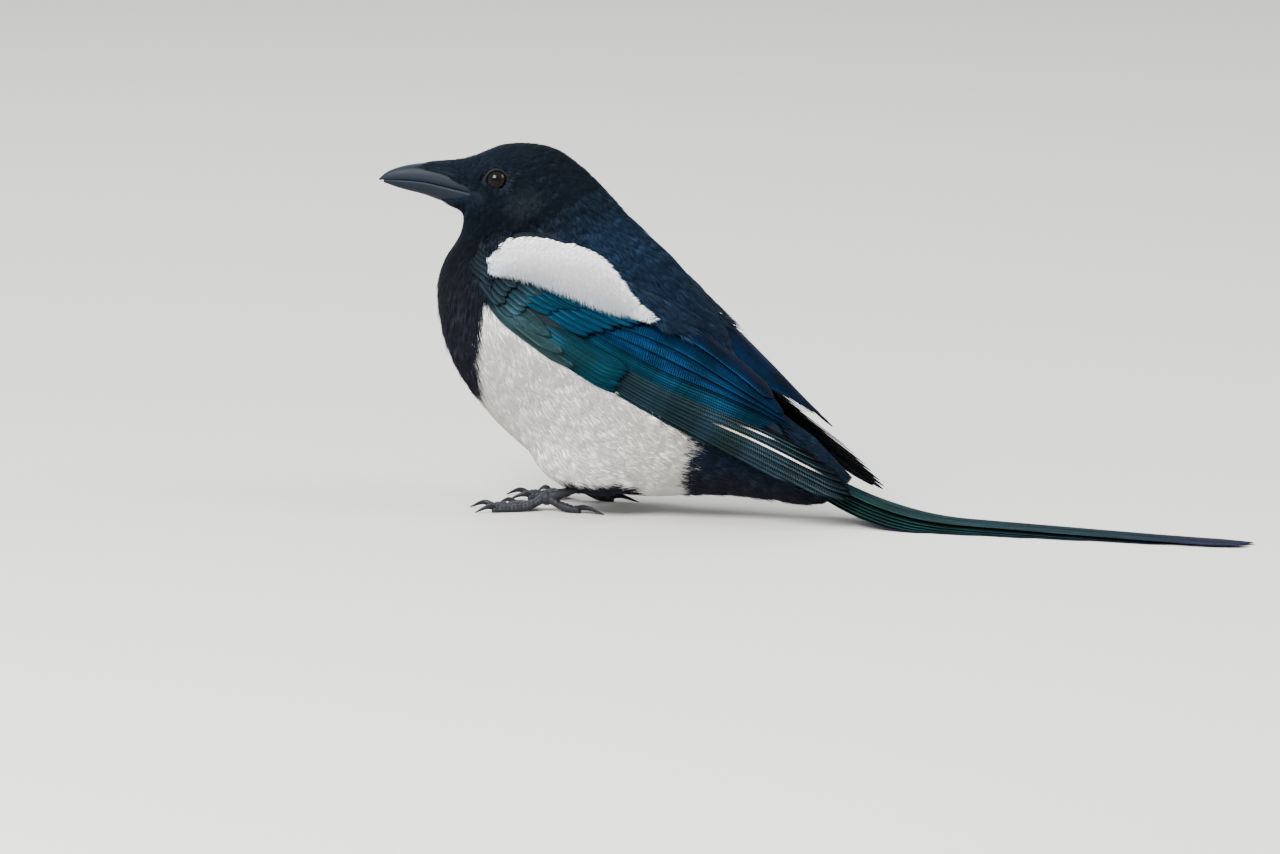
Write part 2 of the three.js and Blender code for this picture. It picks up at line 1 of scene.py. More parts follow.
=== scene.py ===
import bpy
import numpy as np
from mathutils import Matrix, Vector


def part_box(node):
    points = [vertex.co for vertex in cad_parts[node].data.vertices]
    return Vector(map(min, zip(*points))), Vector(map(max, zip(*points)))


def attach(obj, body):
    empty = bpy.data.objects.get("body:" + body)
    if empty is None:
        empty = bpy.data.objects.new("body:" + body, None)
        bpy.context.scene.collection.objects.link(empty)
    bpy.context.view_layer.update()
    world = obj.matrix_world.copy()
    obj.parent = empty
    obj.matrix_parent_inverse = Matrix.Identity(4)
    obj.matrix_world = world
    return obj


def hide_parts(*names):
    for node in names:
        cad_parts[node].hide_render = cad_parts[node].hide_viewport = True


# A life-size Eurasian magpie. Everything is worked out in the bird's own millimetres,
# where it faces -x, its left side faces -y and the floor is z = 0, and addPiece turns
# that into the frame's metres
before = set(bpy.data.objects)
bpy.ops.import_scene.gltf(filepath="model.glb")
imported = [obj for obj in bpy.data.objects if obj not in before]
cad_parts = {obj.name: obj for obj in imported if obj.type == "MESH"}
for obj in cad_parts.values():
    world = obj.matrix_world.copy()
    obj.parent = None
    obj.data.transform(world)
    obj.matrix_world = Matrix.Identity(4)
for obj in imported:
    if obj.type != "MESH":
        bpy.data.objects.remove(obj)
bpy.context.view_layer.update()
random = np.random.default_rng(11)
metre = 0.001  # of a millimetre

bird = {
    "turn": 22,  # degrees the head turns to the bird's left
    "turnAxisX": -20,  # upright axis of that turn
    "turnFades": (5, 10),  # sections between which the turn dies out
    "squareness": 0.93,  # under 1 makes each section a little squarer than an ellipse
    "coatDepth": 2.2,  # skin to the feathers' tips
    "thigh": {"at": (3, 23, 24.5), "size": (25, 12.5, 15), "tilt": 12, "blend": 3},
    # Each section goes from a point on the back to one on the underside, as
    # [back x, back z, underside x, underside z, half width]
    "sections": [
        [-69.5, 149.9, -68, 131.2, 7],
        [-60, 151, -63, 128.5, 10],
        [-52.5, 153.5, -61, 126.5, 12.6],
        [-44, 156.7, -60.8, 122.5, 14.6],
        [-33, 157.4, -62, 118, 16],
        [-21, 155, -64.5, 113.5, 17.4],
        [-10, 147.5, -68.5, 107.5, 19.5],
        [0, 138, -71.5, 99.5, 23.5],
        [9.5, 128, -73, 89.5, 28.5],
        [19, 119.5, -72, 78, 33.5],
        [29, 111, -67.5, 64, 38],
        [39, 100.5, -58, 49.5, 41],
        [48.5, 88.5, -42, 33, 42],
        [56.5, 77, -20, 17.5, 40.5],
        [63.5, 66.5, 5, 8.5, 38],
        [70, 58, 26, 7, 33.5],
        [77, 50.5, 44, 8.5, 28.5],
        [86, 43, 60, 9.5, 23.5],
        [98, 34.5, 78, 8.5, 18.5],
        [108, 26.5, 92, 7, 12.5],
        [116, 19.5, 103, 7.5, 6],
    ],
}
lastSection = len(bird["sections"]) - 1
eye = {
    "at": (-46.2, 11, 142.7), "radius": 5.0, "opening": 4.15, "lid": 0.6,
    "pupil": "#020203", "iris": "#0c0908",
    "pupilEdge": (2.1, 2.5),  # where pupil turns into iris, along the ball from its front
}

# The folded wing as a curved sheet: along it from the wrist, its distance from the middle
# plane, the lean of its surface from upright in degrees, and its radius of curl
wing = {
    "slope": 29.5,
    "front": (-40, 105),  # x and z where the sheet begins
    "along": [0, 25, 55, 85, 115, 145, 187],
    "sheet": [
        [31, 12, 40], [39, 8, 46], [43, 6, 48], [41, 9, 46],
        [34.5, 16, 42], [29, 27, 38], [22, 38, 34],
    ],
    "depth": 5.4,  # from the sheet in to the wing's inner face
    "edgeAlong": [-7, -3, 5, 22, 41, 62, 82, 128, 150, 187],
    "edges": [
        [6, 10], [2.3, 15], [-6.4, 24], [-15.7, 32.5], [-14.6, 34.5],
        [-13.6, 33], [-13.2, 31], [-13.2, 28], [-12.8, 22], [-12, 4],
    ],
    # Edges of some feathers of the fan, counted from the outermost primary
    "fanFeathers": [0, 10, 16, 18.5, 21],
    "fanAlong": [42, 91, 115, 140, 187],
    "fanEdges": [
        [-12.6, 0.5, 5, 10, 18], [-12.6, 1.6, 8, 21, 49], [-12.5, 4, 11.5, 20, 45],
        [-12.4, 8, 15, 19.5, 30], [-11, 12, 18, 22, 25],
    ],
    # Upper edge of what the feathers cover
    "topAlong": [-7, -3, 5, 22, 41, 62, 91, 115, 136, 145, 152, 160, 187],
    "top": [10, 15, 24, 32.5, 34.5, 36, 47, 42, 30, 20, 11, 8, -2],
    # The left wing's inner feathers fold down to the back, over those of the right wing
    "fold": {-1: 0.014, 1: 0.019},
}


def linearColour(hexValue):
    # sRGB hex to linear: value/12.92 where dark, ((value + 0.055)/1.055)^2.4 above
    raw = np.array([int(hexValue[at:at + 2], 16) for at in (1, 3, 5)]) / 255
    return np.where(raw <= 0.04045, raw / 12.92, ((raw + 0.055) / 1.055) ** 2.4)


def smoothStep(value, low, high):
    share = np.clip((value - low) / (high - low), 0, 1)
    return share * share * (3 - 2 * share)


def rounded(value, power):
    return np.sign(value) * np.abs(value) ** power


def unit(vectors):
    return vectors / np.maximum(np.linalg.norm(vectors, axis=-1, keepdims=True), 1e-9)


def smoothRows(knots, rows, at):
    # Cubic through the knots: the slope at each knot is that of the line between its
    # neighbours, and the curve runs straight at both ends
    knots, rows = np.asarray(knots, float), np.asarray(rows, float)
    at = np.clip(np.asarray(at, float), knots[0], knots[-1])
    span = np.clip(np.searchsorted(knots, at, side="right") - 1, 0, len(knots) - 2)
    before = np.where(span > 0, span - 1, span + 1)
    after = np.where(span + 2 < len(knots), span + 2, span)
    start, end = knots[span], knots[span + 1]
    half = (end - start) / 2
    share = (at - start) / (end - start)
    back = half / (start - knots[before])
    on = half / (knots[after] - end)
    square, cube = share ** 2, share ** 3
    weights = [
        -back * cube + 2 * back * square - back * share,
        (1 + back) * cube + (-1.5 - 2 * back) * square + (-0.5 + back) * share + 1,
        (-1 - on) * cube + (1.5 + on) * square + 0.5 * share,
        on * cube - on * square,
    ]
    spans = [before, span, span + 1, after]
    return sum(weight[..., None] * rows[each] for weight, each in zip(weights, spans))


def turned(points, share=1.0):
    # Turns points about the head's upright axis by share of the whole turn
    angle = np.radians(bird["turn"]) * share
    x, y = points[..., 0] - bird["turnAxisX"], points[..., 1]
    return np.stack([
        x * np.cos(angle) - y * np.sin(angle) + bird["turnAxisX"],
        x * np.sin(angle) + y * np.cos(angle),
        points[..., 2],
    ], -1)


def bodySurface(section, angle, grow=0.0):
    # A section's middle, plus its half height times cos(angle) towards the back, plus its
    # half width times sin(angle) sideways; pushed out to the thigh where that lies further out
    rows = smoothRows(range(lastSection + 1), bird["sections"], section)
    backX, backZ, underX, underZ, half = np.moveaxis(rows, -1, 0)
    tall = np.hypot(backX - underX, backZ - underZ) / 2
    upX, upZ = (backX - underX) / (2 * tall), (backZ - underZ) / (2 * tall)
    height = (tall + grow) * rounded(np.cos(angle), bird["squareness"])
    width = (half + grow) * rounded(np.sin(angle), bird["squareness"])
    middle = np.stack([(backX + underX) / 2, 0 * backX, (backZ + underZ) / 2], -1)
    spot = middle + np.stack([upX * height, width, upZ * height], -1)
    spot = overThigh(middle, spot, grow)
    share = 1 - smoothStep(section, *bird["turnFades"])
    return turned(spot, share)


def overThigh(middle, spot, grow):
    # Along the line from the middle, the distance out is the smooth larger one of the body's
    # and that of the thigh's ellipsoid, where the line leaves it
    thigh = bird["thigh"]
    side = np.where(spot[..., 1] < 0, -1.0, 1.0)
    tilt = np.radians(thigh["tilt"])
    size = np.array(thigh["size"], float) + np.asarray(grow)[..., None]

    def local(vectors):
        x, y, z = np.moveaxis(vectors, -1, 0)
        across = y * side
        along = np.stack([
            x * np.cos(tilt) - z * np.sin(tilt), across, x * np.sin(tilt) + z * np.cos(tilt)
        ], -1)
        return along / size

    away = spot - middle
    reach = np.linalg.norm(away, axis=-1)
    centre = np.array(thigh["at"]) * np.stack([side * 0 + 1, side, side * 0 + 1], -1)
    origin, heading = local(middle - centre), local(unit(away))
    a = (heading ** 2).sum(-1)
    b = (origin * heading).sum(-1)
    c = (origin ** 2).sum(-1) - 1
    root = b * b - a * c
    leaves = np.where(root > 0, (-b + np.sqrt(np.maximum(root, 0))) / a, 0)
    soft = thigh["blend"]
    gain = np.log1p(np.exp(np.clip((leaves - reach) / soft, -30, 30))) * soft
    ease = smoothStep(leaves - reach, -3 * soft, 0)
    return spot + unit(away) * (gain * ease)[..., None]


def wingRow(along):
    distance, lean, curl = np.moveaxis(smoothRows(wing["along"], wing["sheet"], along), -1, 0)
    return distance, np.radians(lean), curl


def wingSurface(side, along, across, out):
    # The sheet curls round an arc of the given radius, starting at its lean from upright;
    # out runs away from the arc's middle
    distance, start, curl = wingRow(along)
    slope = np.radians(wing["slope"])
    angle = start + across / curl
    rise = curl * (np.sin(angle) - np.sin(start)) + out * np.sin(angle)
    reach = distance + curl * (np.cos(angle) - np.cos(start)) + out * np.cos(angle)
    return np.stack(np.broadcast_arrays(
        wing["front"][0] + along * np.cos(slope) + rise * np.sin(slope),
        side * reach,
        wing["front"][1] - along * np.sin(slope) + rise * np.cos(slope),
    ), -1)


def wingPlace(points):
    # The other way round: side, along, across and out of points near the wing
    slope = np.radians(wing["slope"])
    side = np.where(points[..., 1] < 0, -1.0, 1.0)
    x, z = points[..., 0] - wing["front"][0], points[..., 2] - wing["front"][1]
    along = x * np.cos(slope) - z * np.sin(slope)
    rise = x * np.sin(slope) + z * np.cos(slope)
    distance, start, curl = wingRow(along)
    up = rise + curl * np.sin(start)
    away = np.abs(points[..., 1]) - distance + curl * np.cos(start)
    return side, along, (np.arctan2(up, away) - start) * curl, np.hypot(up, away) - curl


def wingFold(side, along, across):
    # How far the inner feathers bend in from the sheet, as the square of the distance across
    depth = np.where(side < 0, wing["fold"][-1], wing["fold"][1])
    return depth * np.maximum(0, across - 20) ** 2 * smoothStep(along, 55, 85)


def wingCrown(side, along, across):
    # The wing's face is domed across and rises to meet the shoulder at the front
    off = np.minimum((across - 8) / 22, 1)
    shoulder = np.clip(1 - along / 20, 0, 1.3) * np.maximum(0, across - 9)
    dome = 0.2 - np.where(off < 0, 1.2, 1.6) * off * off + 0.4 * shoulder
    return dome - wingFold(side, along, across)


def wingEdges(along):
    return np.moveaxis(smoothRows(wing["edgeAlong"], wing["edges"], along), -1, 0)


def wingTop(along):
    return np.interp(along, wing["topAlong"], wing["top"])


def fanAcross(along, feather):
    edges = smoothRows(wing["fanAlong"], wing["fanEdges"], along)
    firsts = np.array(wing["fanFeathers"], float)
    low = np.clip(np.searchsorted(firsts, feather, side="right") - 1, 0, len(firsts) - 2)
    share = (feather - firsts[low]) / (firsts[low + 1] - firsts[low])
    near = np.take_along_axis(edges, low[..., None], -1)[..., 0]
    far = np.take_along_axis(edges, low[..., None] + 1, -1)[..., 0]
    return near + (far - near) * share


# Place of the bird in the frame, from the CAD's own left eye
eyeLow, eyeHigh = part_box("eye_left")
eyeSpot = turned(np.array([eye["at"][0], -eye["at"][1], eye["at"][2]]))
shift = np.array([(eyeLow.x + eyeHigh.x) / (2 * metre) - eyeSpot[0], 0, 0])


def outward(points, faces):
    # Parts are found by passing the lowest corner number on through shared corners until none
    # changes. A part's volume is the sum of a . (b x c) over its triangles, and a part where
    # that is negative has its faces turned round
    part = np.arange(len(points))
    settled = False
    while not settled:
        lowest = part[faces].min(1)
        spread = part.copy()
        for corner in faces.T:
            np.minimum.at(spread, corner, lowest)
        spread = spread[spread]
        settled = (spread == part).all()
        part = spread
    a, b, c, d = (points[faces[:, at]] for at in (0, 1, 2, -1))
    volume = (a * np.cross(b, c)).sum(1) + (a * np.cross(c, d)).sum(1)
    closed = np.bincount(part[faces[:, 0]], weights=volume, minlength=len(points))
    inverted = closed[part[faces[:, 0]]] < 0
    return np.where(inverted[:, None], faces[:, ::-1], faces)


def addPiece(name, points, faces, finish, nodes=(), tints=None, uvs=None, uvName="vane"):
    faces = outward(points, faces)
    mesh = bpy.data.meshes.new(name)
    mesh.vertices.add(len(points))
    mesh.vertices.foreach_set("co", ((points + shift) * metre).astype(np.float32).ravel())
    corners = faces.shape[1]
    mesh.loops.add(faces.size)
    mesh.loops.foreach_set("vertex_index", faces.astype(np.int32).ravel())
    mesh.polygons.add(len(faces))
    mesh.polygons.foreach_set("loop_start", np.arange(0, faces.size, corners, dtype=np.int32))
    mesh.polygons.foreach_set("use_smooth", np.ones(len(faces), bool))
    if tints is not None:
        layer = mesh.color_attributes.new("tint", "FLOAT_COLOR", "POINT")
        rgba = np.concatenate([tints, np.ones((len(tints), 1))], 1)
        layer.data.foreach_set("color", rgba.astype(np.float32).ravel())
    if uvs is not None:
        layer = mesh.uv_layers.new(name=uvName)
        layer.data.foreach_set("uv", uvs[faces.ravel()].astype(np.float32).ravel())
    mesh.update(calc_edges=True)
    mesh.validate()
    material, slot = finish
    mesh.materials.append(material)
    piece = bpy.data.objects.new(name, mesh)
    bpy.context.scene.collection.objects.link(piece)
    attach(piece, "root")
    if nodes:
        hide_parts(*nodes)
    return piece


def ringFaces(rings, around, offset=0):
    # Quads between neighbouring rings of points
    ring, side = np.meshgrid(np.arange(rings - 1), np.arange(around), indexing="ij")
    here, beside = ring * around + side, ring * around + (side + 1) % around
    return np.stack([here, beside, beside + around, here + around], -1).reshape(-1, 4) + offset


def capFaces(around, first):
    # Quads across a flat ring, from its middle line outwards, pairing left with right
    left = np.arange(around // 2 - 1)
    quads = np.stack([left, left + 1, around - 2 - left, around - 1 - left], -1)
    return quads + first


def closedTube(rings):
    # rings is (count, around, 3); both ends close to a point at their middle
    count, around = rings.shape[:2]
    ends = np.stack([rings[0].mean(0), rings[-1].mean(0)])
    points = np.concatenate([rings.reshape(-1, 3), ends])
    quads = ringFaces(count, around)
    side = np.arange(around)
    beside = (side + 1) % around
    last = (count - 1) * around
    first = np.stack([beside, side, side * 0 + len(points) - 2], -1)
    second = np.stack([last + side, last + beside, side * 0 + len(points) - 1], -1)
    halves = np.concatenate([quads[:, [0, 1, 2]], quads[:, [0, 2, 3]]])
    faces = np.concatenate([halves, first, second])
    return points, faces


def merged(parts):
    # Several (points, faces) as one
    points, faces, offset = [], [], 0
    for each in parts:
        points.append(each[0])
        faces.append(each[1] + offset)
        offset += len(each[0])
    return np.concatenate(points), np.concatenate(faces)


# Materials. One function adds a node with its settings and links
def addNode(tree, kind, settings=None, **links):
    node = tree.nodes.new(kind)
    for key, value in (settings or {}).items():
        if isinstance(key, int) or key in node.inputs:
            node.inputs[key].default_value = value
        else:
            setattr(node, key, value)
    for key, source in links.items():
        name = key.replace("_", " ")
        socket = node.inputs[int(name[2:])] if name.startswith("at") else node.inputs[name]
        tree.links.new(source, socket)
    return node


def rgba(hexValue):
    return (*linearColour(hexValue), 1.0)


def startMaterial(name, **settings):
    material = bpy.data.materials.new(name)
    material.use_nodes = True
    tree = material.node_tree
    shader = tree.nodes["Principled BSDF"]
    for key, value in settings.items():
        shader.inputs[key.replace("_", " ")].default_value = value
    return material, tree, shader


def plumeMaterial(name, roughness, sheen, gloss, mottle, grain, levels):
    # Body plumage: soft matt barbs, each tuft its own shade, with a little sheen where the
    # tips stand up. Mottle and grain are sizes in millimetres, and levels is how much the
    # mottle dims and lifts the colour
    material, tree, shader = startMaterial(
        name, Roughness=roughness, Sheen_Weight=sheen, Sheen_Roughness=0.5, Specular_IOR_Level=gloss)
    place = addNode(tree, "ShaderNodeTexCoord").outputs["Object"]
    tint = addNode(tree, "ShaderNodeAttribute", {"attribute_name": "tint"}).outputs["Color"]
    cloud = addNode(tree, "ShaderNodeTexNoise", {"Scale": 1 / (mottle * metre), "Detail": 3.0},
                    Vector=place)
    level = addNode(tree, "ShaderNodeMapRange", {"To Min": levels[0], "To Max": levels[1]},
                    Value=cloud.outputs["Fac"])
    shaded = addNode(tree, "ShaderNodeVectorMath", {"operation": "SCALE"},
                     at0=tint, Scale=level.outputs["Result"])
    tree.links.new(shaded.outputs["Vector"], shader.inputs["Base Color"])
    fine = addNode(tree, "ShaderNodeTexNoise", {"Scale": 1 / (grain * metre), "Detail": 2.0},
                   Vector=place)
    bump = addNode(tree, "ShaderNodeBump", {"Strength": 0.25, "Distance": 0.0002},
                   Height=fine.outputs["Fac"])
    tree.links.new(bump.outputs["Normal"], shader.inputs["Normal"])
    return material


def vaneMaterial(name, metallic, roughness, barb, contrast):
    # Flight feather: melanin rods in keratin give the barbs a coloured gloss, as thin foil
    # does. Barbs leave the shaft at a slant, drawn barb mm apart so that they show
    material, tree, shader = startMaterial(
        name, Roughness=roughness, Metallic=metallic, Specular_IOR_Level=0.12,
        Specular_Tint=(0.3, 0.34, 0.38, 1))
    tint = addNode(tree, "ShaderNodeAttribute", {"attribute_name": "tint"}).outputs["Color"]
    vane = addNode(tree, "ShaderNodeUVMap", {"uv_map": "vane"}).outputs["UV"]
    parts = addNode(tree, "ShaderNodeSeparateXYZ", Vector=vane).outputs
    aside = addNode(tree, "ShaderNodeMath", {"operation": "ABSOLUTE"}, at0=parts["X"])
    slant = addNode(tree, "ShaderNodeMath", {"operation": "MULTIPLY", 1: -1.6},
                    at0=aside.outputs[0])
    run = addNode(tree, "ShaderNodeMath", {"operation": "ADD"}, at0=parts["Y"],
                  at1=slant.outputs[0])
    cloud = addNode(tree, "ShaderNodeTexNoise", {"Scale": 40.0, "Detail": 2.0}, Vector=vane)
    wander = addNode(tree, "ShaderNodeMath", {"operation": "MULTIPLY", 1: 0.012},
                     at0=cloud.outputs["Fac"])
    bent = addNode(tree, "ShaderNodeMath", {"operation": "ADD"}, at0=run.outputs[0],
                   at1=wander.outputs[0])
    # A unit of the map is 100 mm
    phase = addNode(tree, "ShaderNodeMath", {"operation": "MULTIPLY", 1: 100 * 2 * np.pi / barb},
                    at0=bent.outputs[0])
    barbs = addNode(tree, "ShaderNodeMath", {"operation": "SINE"}, at0=phase.outputs[0])
    level = addNode(tree, "ShaderNodeMapRange",
                    {"From Min": -1.0, "To Min": 1 - contrast, "To Max": 1 + contrast},
                    Value=barbs.outputs[0])
    # Streaks along the feather, where the barbs lie at another slant and turn duller and greener
    stretched = addNode(tree, "ShaderNodeMapping", {"Scale": (60, 5, 1)}, Vector=vane)
    streak = addNode(tree, "ShaderNodeTexNoise", {"Scale": 1.0, "Detail": 3.0},
                     Vector=stretched.outputs["Vector"])
    dulled = addNode(tree, "ShaderNodeMapRange", {"From Min": 0.42, "From Max": 0.62},
                     Value=streak.outputs["Fac"])
    hue = addNode(tree, "ShaderNodeMix", {"data_type": "RGBA", 6: (0.72, 0.62, 0.5, 1),
                                          7: (1.15, 1.12, 1.15, 1)}, Factor=dulled.outputs["Result"])
    streaked = addNode(tree, "ShaderNodeVectorMath", {"operation": "MULTIPLY"},
                       at0=tint, at1=hue.outputs[2])
    shaded = addNode(tree, "ShaderNodeVectorMath", {"operation": "SCALE"},
                     at0=streaked.outputs["Vector"], Scale=level.outputs["Result"])
    tree.links.new(shaded.outputs["Vector"], shader.inputs["Base Color"])
    bump = addNode(tree, "ShaderNodeBump", {"Strength": 0.35, "Distance": 0.0003},
                   Height=barbs.outputs[0])
    tree.links.new(bump.outputs["Normal"], shader.inputs["Normal"])
    return material


def hornMaterial(name, colours, roughness, grain, stretch, bumpDepth, coat=0.0):
    # Keratin over bone or scale: two near colours in fine streaks, worn a little duller
    # where the streaks stand up
    material, tree, shader = startMaterial(name, Specular_IOR_Level=0.11, Coat_Weight=coat)
    place = addNode(tree, "ShaderNodeTexCoord").outputs["Object"]
    mapped = addNode(tree, "ShaderNodeMapping", {"Scale": stretch}, Vector=place)
    streak = addNode(tree, "ShaderNodeTexNoise", {"Scale": 1 / (grain * metre), "Detail": 4.0},
                     Vector=mapped.outputs["Vector"])
    mix = addNode(tree, "ShaderNodeMix",
                  {"data_type": "RGBA", 6: rgba(colours[0]), 7: rgba(colours[1])},
                  Factor=streak.outputs["Fac"])
    tree.links.new(mix.outputs[2], shader.inputs["Base Color"])
    level = addNode(tree, "ShaderNodeMapRange",
                    {"To Min": roughness - 0.08, "To Max": roughness + 0.1},
                    Value=streak.outputs["Fac"])
    tree.links.new(level.outputs["Result"], shader.inputs["Roughness"])
    bump = addNode(tree, "ShaderNodeBump", {"Strength": 0.4, "Distance": bumpDepth},
                   Height=streak.outputs["Fac"])
    tree.links.new(bump.outputs["Normal"], shader.inputs["Normal"])
    return material


blackDown = (plumeMaterial("blackBodyPlumage", 0.5, 0.02, 0.07, 14, 0.35, (0.88, 1.1)), "black_plumage")
whiteDown = (plumeMaterial("whiteBodyPlumage", 0.8, 0.1, 0.15, 12, 0.35, (0.95, 1)), "white_plumage")
wingVanes = (vaneMaterial("wingVaneKeratin", 0.8, 0.44, 0.9, 0.14), "wing_plumage")
tailVanes = (vaneMaterial("tailVaneKeratin", 0.8, 0.42, 1.1, 0.12), "tail_plumage")
billHorn = (hornMaterial("billKeratin", ("#0d131a", "#151d26"), 0.5, 2.2, (0.35, 1, 1), 1e-4),
            "bill_horn")
legScale = (hornMaterial("legScaleKeratin", ("#141518", "#2b2c31"), 0.5, 0.9, (1, 1, 1), 1e-4),
            "leg_skin")
clawHorn = (hornMaterial("clawKeratin", ("#0d0d10", "#1f2025"), 0.3, 1.5, (1, 1, 1), 5e-5),
            "leg_skin")
lidSkin = (hornMaterial("eyelidSkin", ("#080a0d", "#101317"), 0.5, 0.5, (1, 1, 1), 8e-5),
           "leg_skin")
print("materials made")


# Markings. Positive where the plumage is white, in millimetres from the border
markings = {
    "bibZ": [45, 50, 70, 93, 104],  # height on the breast
    "bibX": [-70, -47, -45, -40, -38],  # how far back the black bib reaches there
    "bibFloor": 47,  # lowest black on the breast
    "neckSection": 8.6,  # all black before this
    "ventZ": [9, 32], "ventX": [43, 55],  # height, and black undertail behind this
    "tibia": {"x": (-24, 22), "z": 13.5, "y": (8, 40)},  # black feathering over the heel
    "ear": {"at": (-34, 15.5, 132.5), "size": (11, 8, 9)},
    "earColour": "#222a33",
    "blackHead": "#0a1520",
    "blackMantle": "#0f2135",
    "blackBib": "#1e1f29",
    "whiteBelly": "#f8f6f2",
    "whiteRear": "#e9e5dd",
    "skinShade": 0.7,  # of the plumage's colour, for the skin under it
}


def earShare(section, points):
    # How far a spot lies on the ear coverts, a looser and greyer patch behind the eye, and on
    # the dark crescent along their rear edge
    straight = turned(points, -(1 - smoothStep(section, *bird["turnFades"])))
    ear = markings["ear"]
    mirrored = np.concatenate([straight[..., :1], np.abs(straight[..., 1:])], -1)
    off = (mirrored - ear["at"]) / ear["size"]
    reach = np.linalg.norm(off, axis=-1)
    rim = np.exp(-((reach - 1.05) / 0.1) ** 2) * smoothStep(off[..., 0] - off[..., 2], 0.2, 1)
    return 1 - smoothStep(reach, 0.3, 1.15), rim


def whiteness(section, angle, points):
    x, y, z = np.moveaxis(points, -1, 0)
    bibX = np.interp(z, markings["bibZ"], markings["bibX"])
    behindBib = np.maximum(x - bibX, markings["bibFloor"] - z)
    low = markings["tibia"]
    tibia = np.maximum.reduce([low["x"][0] - x, x - low["x"][1], z - low["z"],
                               low["y"][0] - np.abs(y), np.abs(y) - low["y"][1]])
    front = (section - markings["neckSection"]) * 12
    lower = 160 * (np.abs(angle) / np.pi - 0.42)  # the back stays black
    vent = np.interp(z, markings["ventZ"], markings["ventX"]) - x
    return np.minimum.reduce([behindBib, front, vent, lower, tibia])


def plumageColour(section, angle, points, shade):
    # Black of the head, bib, mantle or vent by place, or white that greys towards the vent
    x = points[..., 0]
    under = smoothStep(np.abs(angle) / np.pi, 0.35, 0.75)[..., None]
    bib = smoothStep(section, 5, 8)[..., None] * under
    mantle = (smoothStep(section, 6, 9)[..., None]) * (1 - under)
    black = linearColour(markings["blackHead"]) * (1 - bib) + linearColour(markings["blackBib"]) * bib
    black = black * (1 - mantle) + linearColour(markings["blackMantle"]) * mantle
    ear, rim = (each[..., None] for each in earShare(section, points))
    black = (black * (1 - ear) + linearColour(markings["earColour"]) * ear) * (1 - 0.7 * rim)
    rear = smoothStep(x, 5, 52)[..., None]
    white = linearColour(markings["whiteBelly"]) * (1 - rear) + linearColour(markings["whiteRear"]) * rear
    isWhite = whiteness(section, angle, points) > 0
    return np.where(isWhite[..., None], white, black) * shade[..., None]


def layOnWing(points, over):
    # Feathers from above or in front lie over the wing's face; those from below stay under it
    side, along, across, out = wingPlace(points)
    low = wingEdges(along)[0]
    edge = np.minimum(across - low, wingTop(along) - across)
    inside = smoothStep(edge, -2, 3) * (along > -9) * (along < 186)
    inside = inside * smoothStep(out, -11, -7)  # what lies well under the wing stays there
    crown = wingCrown(side, along, across) + 0.5
    lifted = np.maximum(out, crown + over["height"])
    sunk = np.minimum(out, -1.0)
    target = np.where(over["mask"], lifted, sunk)
    moved = wingSurface(side, along, across, out + (target - out) * inside)
    return np.where((inside > 0)[..., None], moved, points)


def skinSurface():
    # The body's sections, sunk by the coat's depth, and pressed in where the wings lie
    sections = np.linspace(0, lastSection, 181)
    angles = np.linspace(-np.pi, np.pi, 121)[:-1]
    section, angle = np.meshgrid(sections, angles, indexing="ij")
    points = bodySurface(section, angle, -bird["coatDepth"] + 0 * section)
    side, along, across, out = wingPlace(points)
    low = wingEdges(along)[0]
    edge = np.minimum(across - low, wingTop(along) - across)
    inside = smoothStep(edge, -1, 4) * (along > -9) * (along < 186)
    pressed = np.minimum(out, -wing["depth"] + 1 - wingFold(side, along, across))
    bed = wingSurface(side, along, across, out + (pressed - out) * inside)
    points = np.where((inside > 0)[..., None], bed, points)
    tints = plumageColour(section, angle, points, np.full(section.shape, markings["skinShade"]))
    return points, tints


skinRings, skinTints = skinSurface()
skinPoints, skinFaces = closedTube(skinRings)
skinTints = np.concatenate([skinTints.reshape(-1, 3), skinTints[0, :1], skinTints[-1, :1]])
addPiece("skin", skinPoints, skinFaces, blackDown,
         ("head", "neck", "torso", "tail_base", "thigh_left", "thigh_right"), skinTints)
print("skin made")

scapulars = {
    # Outline of the white patch on the wing's sheet, as [along, across]
    "outline": [[3, 1.8], [0.5, 6], [1, 10], [5, 14.5], [16, 23.2], [27.5, 30.8],
                [41.9, 33.5], [52.3, 31], [63.3, 26.4], [78.5, 23.6], [66.8, 17.6], [54.3, 14.6],
                [43.9, 12.8], [28.4, 9], [14, 4.2], [7, 1.8]],
    "feathers": 1300,
    "barbs": 11,
    "length": 15,
    "width": 7,
    "barb": 0.5,
    "thick": 0.6,  # ridge of a barb, of half its width
    "heading": (0.85, -0.52),  # the way the feathers point, turning down along the patch
    "height": (2.5, 3.3),  # over the wing's face at the outline and inside it
    "colour": "#fcfcfb",
    "paintedShadeColour": "#dde4ee",  # painted shade, bluish grey, towards the lower edge, which runs along these spots
    "lowerAlong": [-4, 13, 28, 44, 67, 78],
    "lowerAcross": [2, 4.6, 9.4, 13, 17.8, 23],
    "paintedShadeWidth": 7,
    "roots": 0.86,  # painted shade: dims each whole feather, standing in for the shade between the roots
}


def toOutline(spots, outline):
    # Distance to the nearest edge, and whether each spot is inside (odd number of crossings)
    start = np.array(outline, float)
    end = np.roll(start, -1, 0)
    run = end - start
    off = spots[:, None] - start[None]
    share = np.clip((off * run).sum(-1) / (run ** 2).sum(-1), 0, 1)
    distance = np.linalg.norm(off - share[..., None] * run, axis=-1).min(1)
    x, y = spots[:, :1], spots[:, 1:]
    spans = (start[:, 1] > y) != (end[:, 1] > y)
    rise = np.where(run[:, 1] == 0, 1e-9, run[:, 1])
    crossing = start[:, 0] + (y - start[:, 1]) * run[:, 0] / rise
    inside = (spans & (x < crossing)).sum(1) % 2 == 1
    return np.where(inside, distance, -distance)


